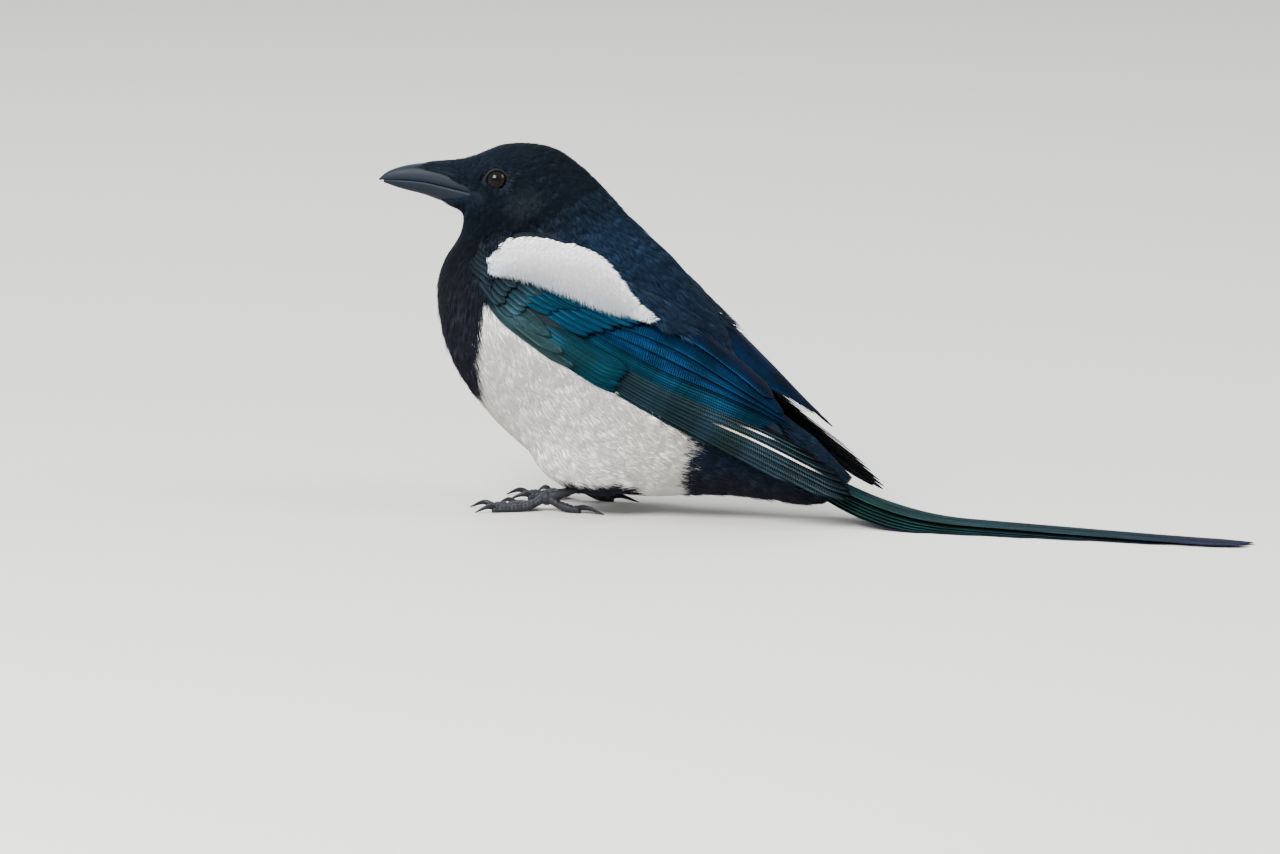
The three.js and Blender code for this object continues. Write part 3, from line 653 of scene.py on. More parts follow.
# Coat. Each feather is a fan of barbs from one root; each barb is a three-sided blade of
# ten triangles that runs back along the body and rises from the skin to the coat's face
coat = {
    "barbs": 11,
    "fan": 1.25,  # radians to either side that the outermost barbs leave the shaft's line
    "thick": 0.32,  # of a barb's width
    "eyeClear": 5.7,
    "gape": (-53.5, 136),  # x and z of the mouth's corner, before the head's turn
    "patch": 0.003,  # of the bake map, for one feather
    "blackPaintedShade": 0.6,  # painted shade: dims each whole feather, standing in for the shade between the roots
    "whitePaintedShade": 0.93,
    "perPiece": 1700,  # feathers
    # Where the mantle's lower edge runs over the wing, as along and across of its sheet
    "mantleAlong": [-8, 20, 41, 54, 77, 87, 97, 104, 106],
    "mantleAcross": [32, 34, 36, 32, 23, 22, 24.5, 29, 99],
}
# Feathers by region: sections, angles as shares of a half turn from the back, feathers,
# length, width of feather, width of barb, how far the tips stand up, and how far the
# feathers are sunk into the coat, where they are
coatRegions = {
    "crown": {"sections": (0.1, 6.5), "shares": (0, 0.45), "count": 1500, "length": 5.5,
              "width": 3, "barb": 0.36, "stand": 0.08},
    "face": {"sections": (0.1, 6.5), "shares": (0.4, 1), "count": 1900, "length": 5.5,
             "width": 3, "barb": 0.36, "stand": 0.12},
    "nape": {"sections": (6, 10), "shares": (0, 0.5), "count": 950, "length": 9,
             "width": 5.5, "barb": 0.5, "stand": 0.08},
    "throat": {"sections": (6, 11.6), "shares": (0.45, 1), "count": 1900, "length": 11,
               "width": 5, "barb": 0.48, "stand": 0.5},
    "mantle": {"sections": (9.5, 17.5), "shares": (0, 0.5), "count": 1600, "length": 12,
               "width": 7, "barb": 0.6, "stand": 0.06},
    "belly": {"sections": (9.5, 15.2), "shares": (0.45, 1), "count": 3500, "length": 13,
              "width": 6, "barb": 0.5, "stand": 0.03},
    "vent": {"sections": (14.6, 19.6), "shares": (0.3, 1), "count": 1000, "length": 13,
             "width": 6, "barb": 0.55, "stand": 0.7},
    "rump": {"sections": (16, 19.8), "shares": (0, 0.5), "count": 900, "length": 11,
             "width": 6, "barb": 0.6, "stand": 0.06, "sunk": 0.6},
}


def evenPoints(count, seed):
    # The R2 sequence: multiples of the plastic number's powers, which never bunch up
    at = np.arange(1, count + 1) + seed * 977
    return np.stack([(at / 1.324717957) % 1, (at / 1.324717957 ** 2) % 1], -1)


def feltRoots(region, seed):
    # Many spots, sorted along a path that runs to and fro over the surface in bands as wide as
    # the feathers' spacing. One is taken each time the area passed grows by a feather's share
    spread = 9 * region["count"]
    share = evenPoints(spread, seed)
    first, last = region["sections"]
    section = first + (last - first) * share[:, 0]
    low, high = region["shares"]
    signed = 2 * share[:, 1] - 1
    angle = np.pi * np.sign(signed) * (low + (high - low) * np.abs(signed))
    alongStep = bodySurface(section + 0.02, angle) - bodySurface(section - 0.02, angle)
    acrossStep = bodySurface(section, angle + 0.01) - bodySurface(section, angle - 0.01)
    area = np.linalg.norm(np.cross(alongStep, acrossStep), axis=-1)
    reach = np.linalg.norm(alongStep, axis=-1).mean() / 0.04 * (last - first)
    whole = area.mean() / (0.04 * 0.02) * (last - first) * 2 * np.pi * (high - low)
    band = np.floor(share[:, 0] * round(reach / np.sqrt(whole / region["count"])))
    order = np.lexsort((np.where(band % 2 == 0, share[:, 1], -share[:, 1]), band))
    step = area[order] * region["count"] / area.sum()
    passed = np.cumsum(step)
    taken = order[np.floor(passed) > np.floor(passed - step)]
    return section[taken], angle[taken]


def underWing(section, angle):
    # True for spots that the wing covers; above it the mantle reaches down over its feathers
    side, along, across, out = wingPlace(bodySurface(section, angle))
    mantle = np.interp(along, coat["mantleAlong"], coat["mantleAcross"])
    top = np.minimum(mantle, wingTop(along))
    inWing = (along > 1) & (along < 178) & (across > wingEdges(along)[0] + 3) & (across < top)
    return inWing & (out > -18), across


# A barb is two rings of three corners and a tip
barbCorners = 7
barbFaces = np.array([[0, 1, 4], [0, 4, 3], [1, 2, 5], [1, 5, 4], [2, 0, 3], [2, 3, 5],
                      [3, 4, 6], [4, 5, 6], [5, 3, 6], [0, 2, 1]])


def barbBlades(spine, sideways, ridge):
    # One barb for every spine of three points: narrow at the root, widest midway, then sharp
    rings = [np.stack([spine[:, :, at] - sideways[:, :, at] * wide,
                       spine[:, :, at] + sideways[:, :, at] * wide,
                       spine[:, :, at] + ridge[:, :, at] * wide], 2)
             for at, wide in ((0, 0.7), (1, 1.0))]
    points = np.concatenate([rings[0], rings[1], spine[:, :, 2:]], 2).reshape(-1, 3)
    starts = np.arange(0, len(points), barbCorners)[:, None, None]
    return points, (barbFaces[None] + starts).reshape(-1, 3)


def bakeSpots(spot, barbs):
    # A small patch of the bake map at each feather's spot: along it by barb, across by corner
    patch = coat["patch"] * np.stack(np.broadcast_arrays(
        np.array([0, 0, 0, 0.5, 0.5, 0.5, 1.0]), np.linspace(0, 1, barbs)[:, None]), -1)
    return (spot[:, None, None] + patch[None]).reshape(-1, 2)


def felt(region, seed, white):
    section, angle = feltRoots(region, seed)
    covered, _ = underWing(section, angle)
    section, angle = section[~covered], angle[~covered]
    # Each feather has the colour of the place where most of it shows
    root = bodySurface(section, angle)
    onward = bodySurface(section + 0.02, angle)
    shown = root + unit(onward - root) * region["length"] * 0.6
    isWhite = whiteness(section, angle, shown) > 0
    chosen = isWhite == white
    section, angle, root, shown = section[chosen], angle[chosen], root[chosen], shown[chosen]
    order = np.argsort(section)
    section, angle, root, shown = section[order], angle[order], root[order], shown[order]
    if len(section) == 0:
        return None
    number, barbs = len(section), coat["barbs"]
    # Steps of both parameters for a millimetre
    step = 0.05
    alongStep = bodySurface(section + step, angle) - root
    perAlong = step / np.maximum(np.linalg.norm(alongStep, axis=-1), 1e-6)
    acrossStep = bodySurface(section, angle + step) - root
    perAcross = step / np.maximum(np.linalg.norm(acrossStep, axis=-1), 1e-6)
    aside = unit(acrossStep)
    normal = unit(np.cross(alongStep, acrossStep))
    length = region["length"] * random.normal(1, 0.12, number)
    # No feather runs over an eye
    eyeSpots = turned(np.array([[eye["at"][0], side * eye["at"][1], eye["at"][2]]
                                for side in (-1, 1)]))
    away = np.linalg.norm(root[:, None] - eyeSpots[None], axis=-1).min(1)
    ahead = (eyeSpots[None] - root[:, None])
    heading = unit(alongStep)[:, None]
    forward = (ahead * heading).sum(-1)
    miss = np.linalg.norm(ahead - forward[..., None] * heading, axis=-1)
    room = np.where((forward > 0) & (miss < coat["eyeClear"]),
                    forward - coat["eyeClear"], 99).min(1)
    length = np.minimum(length, np.maximum(room, 0.8))
    for _ in range(5 if not white else 0):
        tip = bodySurface(np.minimum(section + length * perAlong, lastSection), angle)
        _, tipAlong, tipAcross, tipOut = wingPlace(tip)
        spots = np.stack([tipAlong, tipAcross], -1)
        inPatch = (toOutline(spots, scapulars["outline"]) > 0.8) & (tipOut > -10)
        length = np.where(inPatch, length * 0.75, length)
    tipCovered, tipAcross = underWing(np.minimum(section + 0.8 * length * perAlong, lastSection), angle)
    keep = (away > coat["eyeClear"]) & (length > 1) & ~(tipCovered & (tipAcross > 8))
    side, wingAlong, wingAcross, out = wingPlace(root)
    if white:
        keep &= ~((wingAcross > 5) & (wingAlong > 2) & (out > -18))  # only black lies over the wing
    # Nor over the bare skin at the corner of the mouth
    straight = turned(root, -1)
    gape = np.clip((coat["gape"][0] - straight[:, 0]) / 6, -1, 2.2)
    bare = (gape > -0.2) & (np.abs(straight[:, 2] - coat["gape"][1] - gape) < 0.9 + 1.8 * gape)
    keep &= ~(bare & (section < 3))
    section, angle, root, shown, aside, normal, length = (
        each[keep] for each in (section, angle, root, shown, aside, normal, length))
    perAlong, perAcross = perAlong[keep], perAcross[keep]
    number = len(section)
    # Barbs fan out from the shaft, so that their tips make a rounded edge
    lean = np.linspace(-coat["fan"], coat["fan"], barbs)[None] + random.normal(0, 0.08, (number, barbs))
    ends = length[:, None] * (0.62 + 0.38 * np.cos(lean)) * random.normal(1, 0.07, (number, barbs))
    drift = np.sin(lean) * region["width"] / 2
    sway = random.normal(0, 0.25, (number, 1)) * region["width"] * 0.25
    share = np.array([0, 0.5, 1.0])
    depth = bird["coatDepth"]
    lift = random.normal(0, 0.14, (number, 1)) + random.normal(0, 0.1, (number, barbs))
    lift = lift * (0.5 if white else 1)  # the white breast lies smoother
    tipRise = region["stand"] * np.abs(random.normal(0, 1, (number, 1))) * (0.15 if white else 1)
    along = ends[..., None] * share
    across = drift[..., None] * share ** 0.7 + sway[..., None] * share ** 2
    rise = (-depth * np.array([1.15, 0.42, 0.05]) + lift[..., None] * np.array([0, 0.6, 1])
            + tipRise[..., None] * share ** 2 - region.get("sunk", 0))
    sections = np.minimum(section[:, None, None] + along * perAlong[:, None, None], 19.95)
    angles = angle[:, None, None] + across * perAcross[:, None, None]
    spine = bodySurface(sections, angles, rise)
    side, wingAlong, wingAcross, out = wingPlace(root)
    above = (wingAlong < 2) | ((wingAcross > 8) & (wingAlong < 115))
    over = {"mask": above[:, None, None],
            "height": 0.6 + rise + depth * 0.5}
    spine = layOnWing(spine, over)
    spine[..., 2] = np.maximum(spine[..., 2], 0.6)
    half = region["barb"] / 2 * random.normal(1, 0.1, (number, barbs))[..., None, None]
    sideways = aside[:, None, None] * half
    ridge = normal[:, None, None] * half * 2 * coat["thick"]
    points, faces = barbBlades(spine, np.broadcast_to(sideways, spine.shape),
                               np.broadcast_to(ridge, spine.shape))
    shade = np.exp(random.normal(0, 0.16, (number, 1)) + random.normal(0, 0.1, (number, barbs)))
    colour = plumageColour(section[:, None] + 0 * shade, angle[:, None] + 0 * shade,
                           np.broadcast_to(shown[:, None], (*shade.shape, 3)),
                           np.clip(shade, 0.6, 1.5) if not white else np.clip(shade ** 0.2, 0.88, 1))
    tints = np.repeat(colour[:, :, None], barbCorners, 2)
    # Painted shade: every corner of each feather is dimmed, for the shade that falls between the roots
    tints[:, :, :3] *= coat["whitePaintedShade" if white else "blackPaintedShade"]
    # Bake map: the feather's root on the unrolled skin
    spot = np.stack([0.03 + 0.94 * section / lastSection, 0.03 + 0.94 * (angle / (2 * np.pi) + 0.5)], -1)
    return points, faces, tints.reshape(-1, 3), bakeSpots(spot, barbs), number


def addCoat(name, felted, finish, barbs):
    # In pieces of at most so many feathers each
    points, faces, tints, uvs, number = felted
    pieces = int(np.ceil(number / coat["perPiece"]))
    for at, chosen in enumerate(np.array_split(np.arange(number), pieces)):
        first, end = chosen[0] * barbs, (chosen[-1] + 1) * barbs
        corner = slice(first * barbCorners, end * barbCorners)
        sides = slice(first * len(barbFaces), end * len(barbFaces))
        label = name if pieces == 1 else f"{name}_{at + 1}"
        addPiece(label, points[corner], faces[sides] - corner.start, finish, (),
                 tints[corner], uvs[corner], "OFBake")
    print(f"{name}: {number} feathers")


for seed, (name, region) in enumerate(coatRegions.items()):
    for white in (False, True):
        felted = felt(region, seed, white)
        if felted:
            addCoat(f"{name}_{'white' if white else 'black'}", felted,
                    whiteDown if white else blackDown, coat["barbs"])


# Feathers with a vane: flight feathers, coverts and tail
def leafVanes(place, roots, tips, low, high, lift, taper, shaft=0.0, rows=14, columns=9,
              thick=0.3, ridge=0.18, power=2.2, narrow=0.55):
    # Each vane is a grid: t runs from root to tip, w across from -1 to 1. Its length falls
    # off as taper times |w - shaft| to a power, so the tip is rounded, and its height has a
    # thin ridge for the shaft. Top and bottom are thick apart and meet at the edges
    count = len(roots)
    run = tips - roots
    length = np.linalg.norm(run, axis=1)
    heading = run / length[:, None]
    t = np.linspace(0, 1, rows)[None, :, None]
    near = np.linspace(-1, shaft - 0.09, columns // 2)
    far = np.linspace(shaft + 0.09, 1, columns // 2)
    w = np.concatenate([near, [shaft], far])[None, None]
    columns = w.shape[-1]
    def column(value):
        return np.broadcast_to(np.asarray(value, float), (count,))[:, None, None]
    reach = column(length) - column(taper) * np.abs(w - shaft) ** power
    ahead = t * reach
    width = np.where(w < 0, w * column(low), w * column(high))
    width = width * (narrow + (1 - narrow) * smoothStep(t, 0, 0.25))
    along = column(roots[:, 0]) + column(heading[:, 0]) * ahead - column(heading[:, 1]) * width
    across = column(roots[:, 1]) + column(heading[:, 1]) * ahead + column(heading[:, 0]) * width
    height = lift(np.arange(count)[:, None, None], along, across)
    height = height + ridge * np.exp(-((w - shaft) / 0.07) ** 2) * (1 - 0.7 * t)
    half = thick / 2 * (1 - 0.75 * w ** 4) * (1 - 0.6 * t ** 4)
    top = place(along, across, height + half)
    bottom = place(along, across, height - half)
    rings = np.concatenate([top, bottom[:, :, ::-1]], 2)
    around = 2 * columns
    points = rings.reshape(-1, 3)
    quads = np.concatenate([ringFaces(rows, around), capFaces(around, 0)[:, ::-1],
                            capFaces(around, (rows - 1) * around)])
    faces = (quads[None] + rows * around * np.arange(count)[:, None, None]).reshape(-1, 4)
    vaneX = 0.01 * np.broadcast_to(width, ahead.shape)
    vane = np.stack([vaneX, 0.01 * ahead], -1)
    vane = np.concatenate([vane, vane[:, :, ::-1]], 2).reshape(-1, 2)
    across01 = np.broadcast_to(w, ahead.shape)
    shape = {"t": np.concatenate([np.broadcast_to(t, ahead.shape)] * 2, 2),
             "w": np.concatenate([across01, across01[:, :, ::-1]], 2)}
    return points, faces, vane, shape


def blend(first, second, share):
    return first * (1 - share[..., None]) + second * share[..., None]


# Wing feathers, as tiers on the wing's sheet. Roots and tips are [along, across] in mm with
# the step to the next feather nearer the back; each is tucked under that next one
flight = {
    "root": 42,
    "pitch": 0.62,  # from one feather of the stack to the next
    "sunk": 0.9,
    "primaries": {"first": 0, "low": 1.8, "high": 2.4, "taper": 26, "tipShift": 0.9, "rise": 0,
                  "reach": [128, 166, 181, 187, 187, 184, 180, 176, 170, 163]},
    "secondaries": {"first": 10, "low": 1.4, "high": 1.8, "taper": 8, "tipShift": 0, "rise": 0,
                    "reach": [139, 140, 141, 142, 143, 145]},
    "tertials": {"first": 16, "low": 1, "high": 1.2, "taper": 8, "tipShift": 0, "rise": 0.4,
                 "reach": [149, 147, 142, 134]},
    # Tertials of the right wing, which lies more open: their reach, and their taper's share
    "rightReach": [155, 154, 152, 150],
    "rightTaper": 0.75,
    "brightness": 0.84,  # of all vane colours
}
flightColours = {
    "primaries": ("#14252e", "#0d1317", "#2a3f48"),  # root, tip, outer edge with its painted highlight
    "secondaries": ("#092637", "#0a2337", "#123849"),
    "tertials": ("#031e39", "#051b31", "#092b48"),
}
covertTiers = {
    "greater": {"count": 9, "root": (24, 2.5), "rootStep": (2.4, 2.5), "tip": (56, 4),
                "tipStep": (2.9, 2.7), "low": 2.2, "high": 3.2, "rise": 1.0, "taper": 8,
                "colours": ("#0a2536", "#09304a", "#124459")},
    "primaryCoverts": {"count": 7, "root": (26, -11), "rootStep": (0.8, 1.5), "tip": (78, -10.8),
                       "tipStep": (0.4, 1.9), "low": 2.2, "high": 2.2, "rise": 0.5, "taper": 9,
                       "colours": ("#0e2630", "#103446", "#1f4f5c")},
    "alula": {"count": 3, "root": (6, -10.5), "rootStep": (1, 2.8), "tip": (58, -11),
              "tipStep": (-7, 3.0), "low": 3.4, "high": 3.4, "rise": 1.5, "taper": 12,
              "colours": ("#1a2930", "#21383f", "#4c7072")},
    "median": {"count": 8, "root": (8, 1), "rootStep": (2.6, 2.6), "tip": (38, 3),
               "tipStep": (3.0, 2.7), "low": 2.4, "high": 3.2, "rise": 1.5, "taper": 7,
               "colours": ("#0d222e", "#0b2e43", "#143f51")},
    "lesser2": {"count": 9, "root": (6, -7.5), "rootStep": (0.6, 2.4), "tip": (25, -8),
                "tipStep": (0.8, 2.6), "low": 2.3, "high": 2.8, "rise": 1.9, "taper": 5,
                "colours": ("#172329", "#1c323c", "#2a424a")},
    "lesser1": {"count": 9, "root": (-2, -5.5), "rootStep": (0.2, 2.2), "tip": (15, -8),
                "tipStep": (0.4, 2.7), "low": 2.2, "high": 2.6, "rise": 2.1, "taper": 5,
                "colours": ("#131b20", "#18272e", "#22343c")},
    "lesser0": {"count": 7, "root": (-8, -2), "rootStep": (-0.1, 1.9), "tip": (6, -3.5),
                "tipStep": (0, 2.4), "low": 2.0, "high": 2.4, "rise": 2.1, "taper": 5,
                "colours": ("#12191f", "#18242b", "#202f36")},
}
whiteSlivers = [(6, 126, 176), (8, 137, 153)]  # primary, and along the wing from and to
sliverColour = "#d9dde0"


def vaneTints(colours, shape, count, wobble=0.12):
    # Root colour runs to tip colour, the open outer edge is lighter with a painted highlight, and the
    # shaft darker
    root, tip, edge = (linearColour(each) for each in colours)
    tint = blend(root, tip, smoothStep(shape["t"], 0.25, 1))
    # Painted highlight along the open outer edge
    tint = blend(tint, edge, 0.8 * smoothStep(-shape["w"], 0.75, 0.97))
    tint = tint * (1 - 0.45 * np.exp(-(shape["w"] / 0.06) ** 2))[..., None]
    return flight["brightness"] * tint * np.exp(random.normal(0, wobble, (count, 1, 1, 1)))


def wingFeathers(side):
    parts, tints, vanes = [], [], []

    def fanPlace(along, feather, out):
        across = fanAcross(along, feather)
        return wingSurface(side, along, across, wingCrown(side, along, across) - flight["sunk"] + out)

    def sheetPlace(along, across, out):
        return wingSurface(side, along, across, wingCrown(side, along, across) + out)

    for group in ("primaries", "secondaries", "tertials"):
        each = flight[group]
        count = len(each["reach"])
        index = each["first"] + np.arange(count)
        roots = np.stack([np.full(count, flight["root"]), index + each["low"]], 1)
        opened = side > 0 and group == "tertials"
        reach = flight["rightReach"] if opened else each["reach"]
        tips = np.stack([reach, index + each["low"] + each["tipShift"]], 1)
        tips = tips + random.normal(0, 1, (count, 2)) * np.array([0.8, 0.16])
        def lift(at, along, across, each=each):
            return each["rise"] + flight["pitch"] * (each["first"] + at - across)
        points, faces, vane, shape = leafVanes(
            fanPlace, roots, tips, each["low"], each["high"], lift,
            each["taper"] * (flight["rightTaper"] if opened else 1),
            shaft=-0.35, rows=44, columns=10, thick=0.32, narrow=0.8)
        tint = vaneTints(flightColours[group], shape, count)
        if group == "primaries":
            for feather, start, end in whiteSlivers:
                reach = flight["root"] + shape["t"][feather] * (each["reach"][feather] - flight["root"])
                sliver = (smoothStep(reach, start, start + 6) * (1 - smoothStep(reach, end - 6, end))
                          * smoothStep(-shape["w"][feather], 0.8, 0.9))
                tint[feather] = blend(tint[feather], linearColour(sliverColour), sliver)
        parts.append((points, faces))
        tints.append(tint.reshape(-1, 3))
        vanes.append(vane)
    for tier in covertTiers.values():
        count = tier["count"]
        at = np.arange(count)[:, None]
        roots = np.array(tier["root"]) + at * np.array(tier["rootStep"])
        tips = np.array(tier["tip"]) + at * np.array(tier["tipStep"])
        tips = tips + random.normal(0, 1, (count, 2)) * np.array([0.9, 0.2])
        def lift(at, along, across, tier=tier, roots=roots):
            start = roots[:, 0][:, None, None]
            sunk = 2.2 * (1 - smoothStep(along, start, start + 18))
            stack = flight["pitch"] * (at - (across - tier["tip"][1]) / tier["tipStep"][1])
            return tier["rise"] - sunk + stack
        points, faces, vane, shape = leafVanes(
            sheetPlace, roots, tips, tier["low"], tier["high"], lift, tier["taper"],
            rows=20, columns=8, thick=0.3, ridge=0.12)
        parts.append((points, faces))
        tints.append(vaneTints(tier["colours"], shape, count).reshape(-1, 3))
        vanes.append(vane)
    points, faces = merged(parts)
    return points, faces, np.concatenate(tints), np.concatenate(vanes)


def wingCore(side):
    # The solid part under the feathers: rings across the wing from its inner face out to its
    # face, thinning out towards the tips
    full, end = 46, 62
    stations = np.concatenate([np.linspace(-6.5, full, 30), [50, 55, 59, end]])[:, None]
    angle = np.linspace(0, 2 * np.pi, 41)[:-1][None]
    low, high = wingEdges(stations)
    wide, deep = rounded(np.cos(angle), 0.7), rounded(np.sin(angle), 0.7)
    across = (high + low) / 2 + (high - low) / 2 * wide
    face = wingCrown(side, stations, across) + 0.5
    face = face + (0.4 - wing["depth"] / 2 - face) * smoothStep(stations, full, end)
    middle = (wingCrown(side, stations, across) + 0.5 - wing["depth"]) / 2
    far = np.where(deep < 0, -wing["depth"], face)
    return closedTube(wingSurface(side, stations, across, middle + (far - middle) * np.abs(deep)))


for sideName, side in (("left", -1), ("right", 1)):
    points, faces, tints, vanes = wingFeathers(side)
    addPiece(f"wing_feathers_{sideName}", points, faces, wingVanes, (f"wing_{sideName}",), tints, vanes)
    points, faces = wingCore(side)
    addPiece(f"wing_core_{sideName}", points, faces, blackDown, (f"wing_{sideName}",),
             np.tile(linearColour("#10181c"), (len(points), 1)))
print("wings made")


def scapularFelt(side):
    outline = np.array(scapulars["outline"])
    low, high = outline.min(0), outline.max(0)
    tips = low + (high - low) * evenPoints(scapulars["feathers"] * 2, 5)
    inner = toOutline(tips, outline)
    tips, inner = tips[inner > 0.2], inner[inner > 0.2]
    number, barbs = len(tips), scapulars["barbs"]
    heading = np.array(scapulars["heading"])[None] * np.ones((number, 1))
    heading[:, 1] *= smoothStep(tips[:, 0], -10, 35)
    heading = unit(heading)
    length = scapulars["length"] * random.normal(1, 0.1, number)
    # Shorter where the root would lie outside the patch
    for _ in range(6):
        root = toOutline(tips - heading * length[:, None], outline)
        length = np.where(root < 0, length * 0.82, length)
    length = np.maximum(length, 3)
    cross = np.stack([-heading[:, 1], heading[:, 0]], -1)
    lean = np.linspace(-1.2, 1.2, barbs)[None] + random.normal(0, 0.06, (number, barbs))
    ends = length[:, None] * (0.7 + 0.3 * np.cos(lean)) * random.normal(1, 0.03, (number, barbs))
    drift = np.sin(lean) * scapulars["width"] / 2
    share = np.array([0, 0.5, 1.0])
    root = tips - heading * length[:, None]
    spots = (root[:, None, None] + heading[:, None, None] * (ends[..., None] * share)[..., None]
             + cross[:, None, None] * (drift[..., None] * share ** 0.7)[..., None])
    edgeHeight, innerHeight = scapulars["height"]
    dome = edgeHeight + (innerHeight - edgeHeight) * smoothStep(inner, 0, 9)[:, None, None]
    lift = random.normal(0, 0.16, (number, 1, 1)) + random.normal(0, 0.09, (number, barbs, 1))
    out = (wingCrown(side, spots[..., 0], spots[..., 1]) + 0.5
           + (dome + lift) * np.array([-0.4, 0.55, 1.0]))
    spine = wingSurface(side, spots[..., 0], spots[..., 1], out)
    normal = unit(wingSurface(side, spots[..., 0], spots[..., 1], out + 1) - spine)
    sideways = unit(wingSurface(side, spots[..., 0] + cross[:, None, None, 0] * 0.1,
                                spots[..., 1] + cross[:, None, None, 1] * 0.1, out) - spine)
    half = scapulars["barb"] / 2
    points, faces = barbBlades(spine, sideways * half, normal * half * scapulars["thick"])
    # Painted shade: the patch turns bluish grey towards its lower edge
    lowerEdge = np.interp(tips[:, 0], scapulars["lowerAlong"], scapulars["lowerAcross"])
    lower = smoothStep(tips[:, 1] - lowerEdge, 0, scapulars["paintedShadeWidth"])
    tint = blend(linearColour(scapulars["paintedShadeColour"]), linearColour(scapulars["colour"]), lower)
    tint = tint[:, None] * np.exp(random.normal(0, 0.04, (number, barbs, 1)))
    tints = np.repeat(tint[:, :, None], barbCorners, 2)
    # Painted shade: each feather dimmed as by the shade between the roots
    tints[:, :, :3] *= scapulars["roots"]
    # Bake map: the feather's tip on the wing's sheet
    spot = np.stack([0.1 + 0.8 * (tips[:, 0] + 10) / 100, 0.1 + 0.8 * (tips[:, 1] + 10) / 100], -1)
    return points, faces, tints.reshape(-1, 3), bakeSpots(spot, barbs), number


for sideName, side in (("left", -1), ("right", 1)):
    addCoat(f"scapulars_{sideName}", scapularFelt(side), whiteDown, scapulars["barbs"])
print("scapulars made")

# The tail as a curve that falls from the rump, bends and runs out along the floor
tail = {
    "root": 58, "fall": 40, "straight": 15.4, "bend": 160, "rest": 1.42,
    "lengths": [115, 137, 160, 184, 218, 250],  # outermost pair first
    "middles": [13, 11.6, 10, 8.3, 6.5, 4],
    "half": 6.2, "opens": 110, "pitch": 0.82, "cadVane": 0.5, "taper": 16,
    "colours": ("#1a3738", "#1a2a35", "#254645"),
    "tipColour": "#1f2136",
}


def tailCurve(length):
    fall, rest = np.radians(tail["fall"]), np.radians(tail["rest"])
    straight = np.minimum(length, tail["straight"])
    bend = np.clip((length - tail["straight"]) / tail["bend"], 0, fall - rest)
    angle = fall - bend
    flat = length - straight - bend * tail["bend"]
    x = (tail["root"] + straight * np.cos(fall)
         + tail["bend"] * (np.sin(fall) - np.sin(angle)) + flat * np.cos(angle))
    drop = (straight * np.sin(fall)
            + tail["bend"] * (np.cos(angle) - np.cos(fall)) + flat * np.sin(angle))
    return x, drop, angle


def tailPlace(along, across, up):
    # Across narrows to the root, and the sheet falls off to both sides like a low roof
    x, drop, angle = tailCurve(along)
    tipDrop = tailCurve(np.array(tail["lengths"][-1], float))[1]
    height = tipDrop - (len(tail["lengths"]) - 1) * tail["pitch"] + tail["cadVane"] / 2
    aside = across * (0.3 + 0.7 * smoothStep(along, 0, tail["opens"]))
    over = up - 0.13 * (np.hypot(aside, 4) - 4)
    place = np.stack(np.broadcast_arrays(
        x + over * np.sin(angle), aside, height - drop + over * np.cos(angle)), -1)
    # Pressed up off the floor, more the lower it is, so that the layers keep their order
    place[..., 2] = (place[..., 2] + np.hypot(place[..., 2], 1.6)) / 2
    return place


def tailFeathers():
    parts, tints, vanes = [], [], []
    for pair, length in enumerate(tail["lengths"]):
        inmost = pair == len(tail["lengths"]) - 1
        for side in (-1, 1):
            def place(along, across, up, side=side, pair=pair):
                return tailPlace(along, across + side * tail["middles"][pair], up)
            level = pair + (1 if inmost and side < 0 else 0)
            half = tail["half"] + (0.8 if inmost else 0)
            points, faces, vane, shape = leafVanes(
                place, np.array([[2.0, 0]]), np.array([[float(length), 0]]), half, half,
                lambda at, along, across: level * tail["pitch"] + 0 * along,
                tail["taper"], shaft=0.0 if inmost else 0.25 * side, rows=70, columns=12,
                thick=0.34, ridge=0.3, power=2.4, narrow=0.7)
            shape = {**shape, "w": shape["w"] * -side}
            tint = vaneTints(tail["colours"], shape, 1)
            reach = shape["t"] * length
            tint = blend(tint, linearColour(tail["tipColour"]),
                         smoothStep(reach, length - 45, length - 5))
            parts.append((points, faces))
            tints.append(tint.reshape(-1, 3))
            vanes.append(vane)
    points, faces = merged(parts)
    return points, faces, np.concatenate(tints), np.concatenate(vanes)


points, faces, tints, vanes = tailFeathers()
addPiece("tail_feathers", points, faces, tailVanes, ("tail",), tints, vanes)
print("tail made")

# Bill, before the head's turn: [top, cutting edge, underside, half width] at each x
bill = {
    "along": [-97, -94, -88.4, -77.2, -69.4, -60, -54.5],
    "shape": [
        [142, 141.4, 141, 0.5], [144.6, 141.6, 140, 1.5], [147, 141.7, 138, 2.8],
        [148.9, 141, 135, 5], [148.8, 139.4, 132.2, 6.4], [147, 137.4, 130.5, 9.2],
        [142, 136.3, 132, 11.4],
    ],
    "split": 0.42,  # half of the groove between the mandibles
    "fullness": {1: 0.86, -1: 0.95},  # under 1 rounds the ridge of a mandible
}


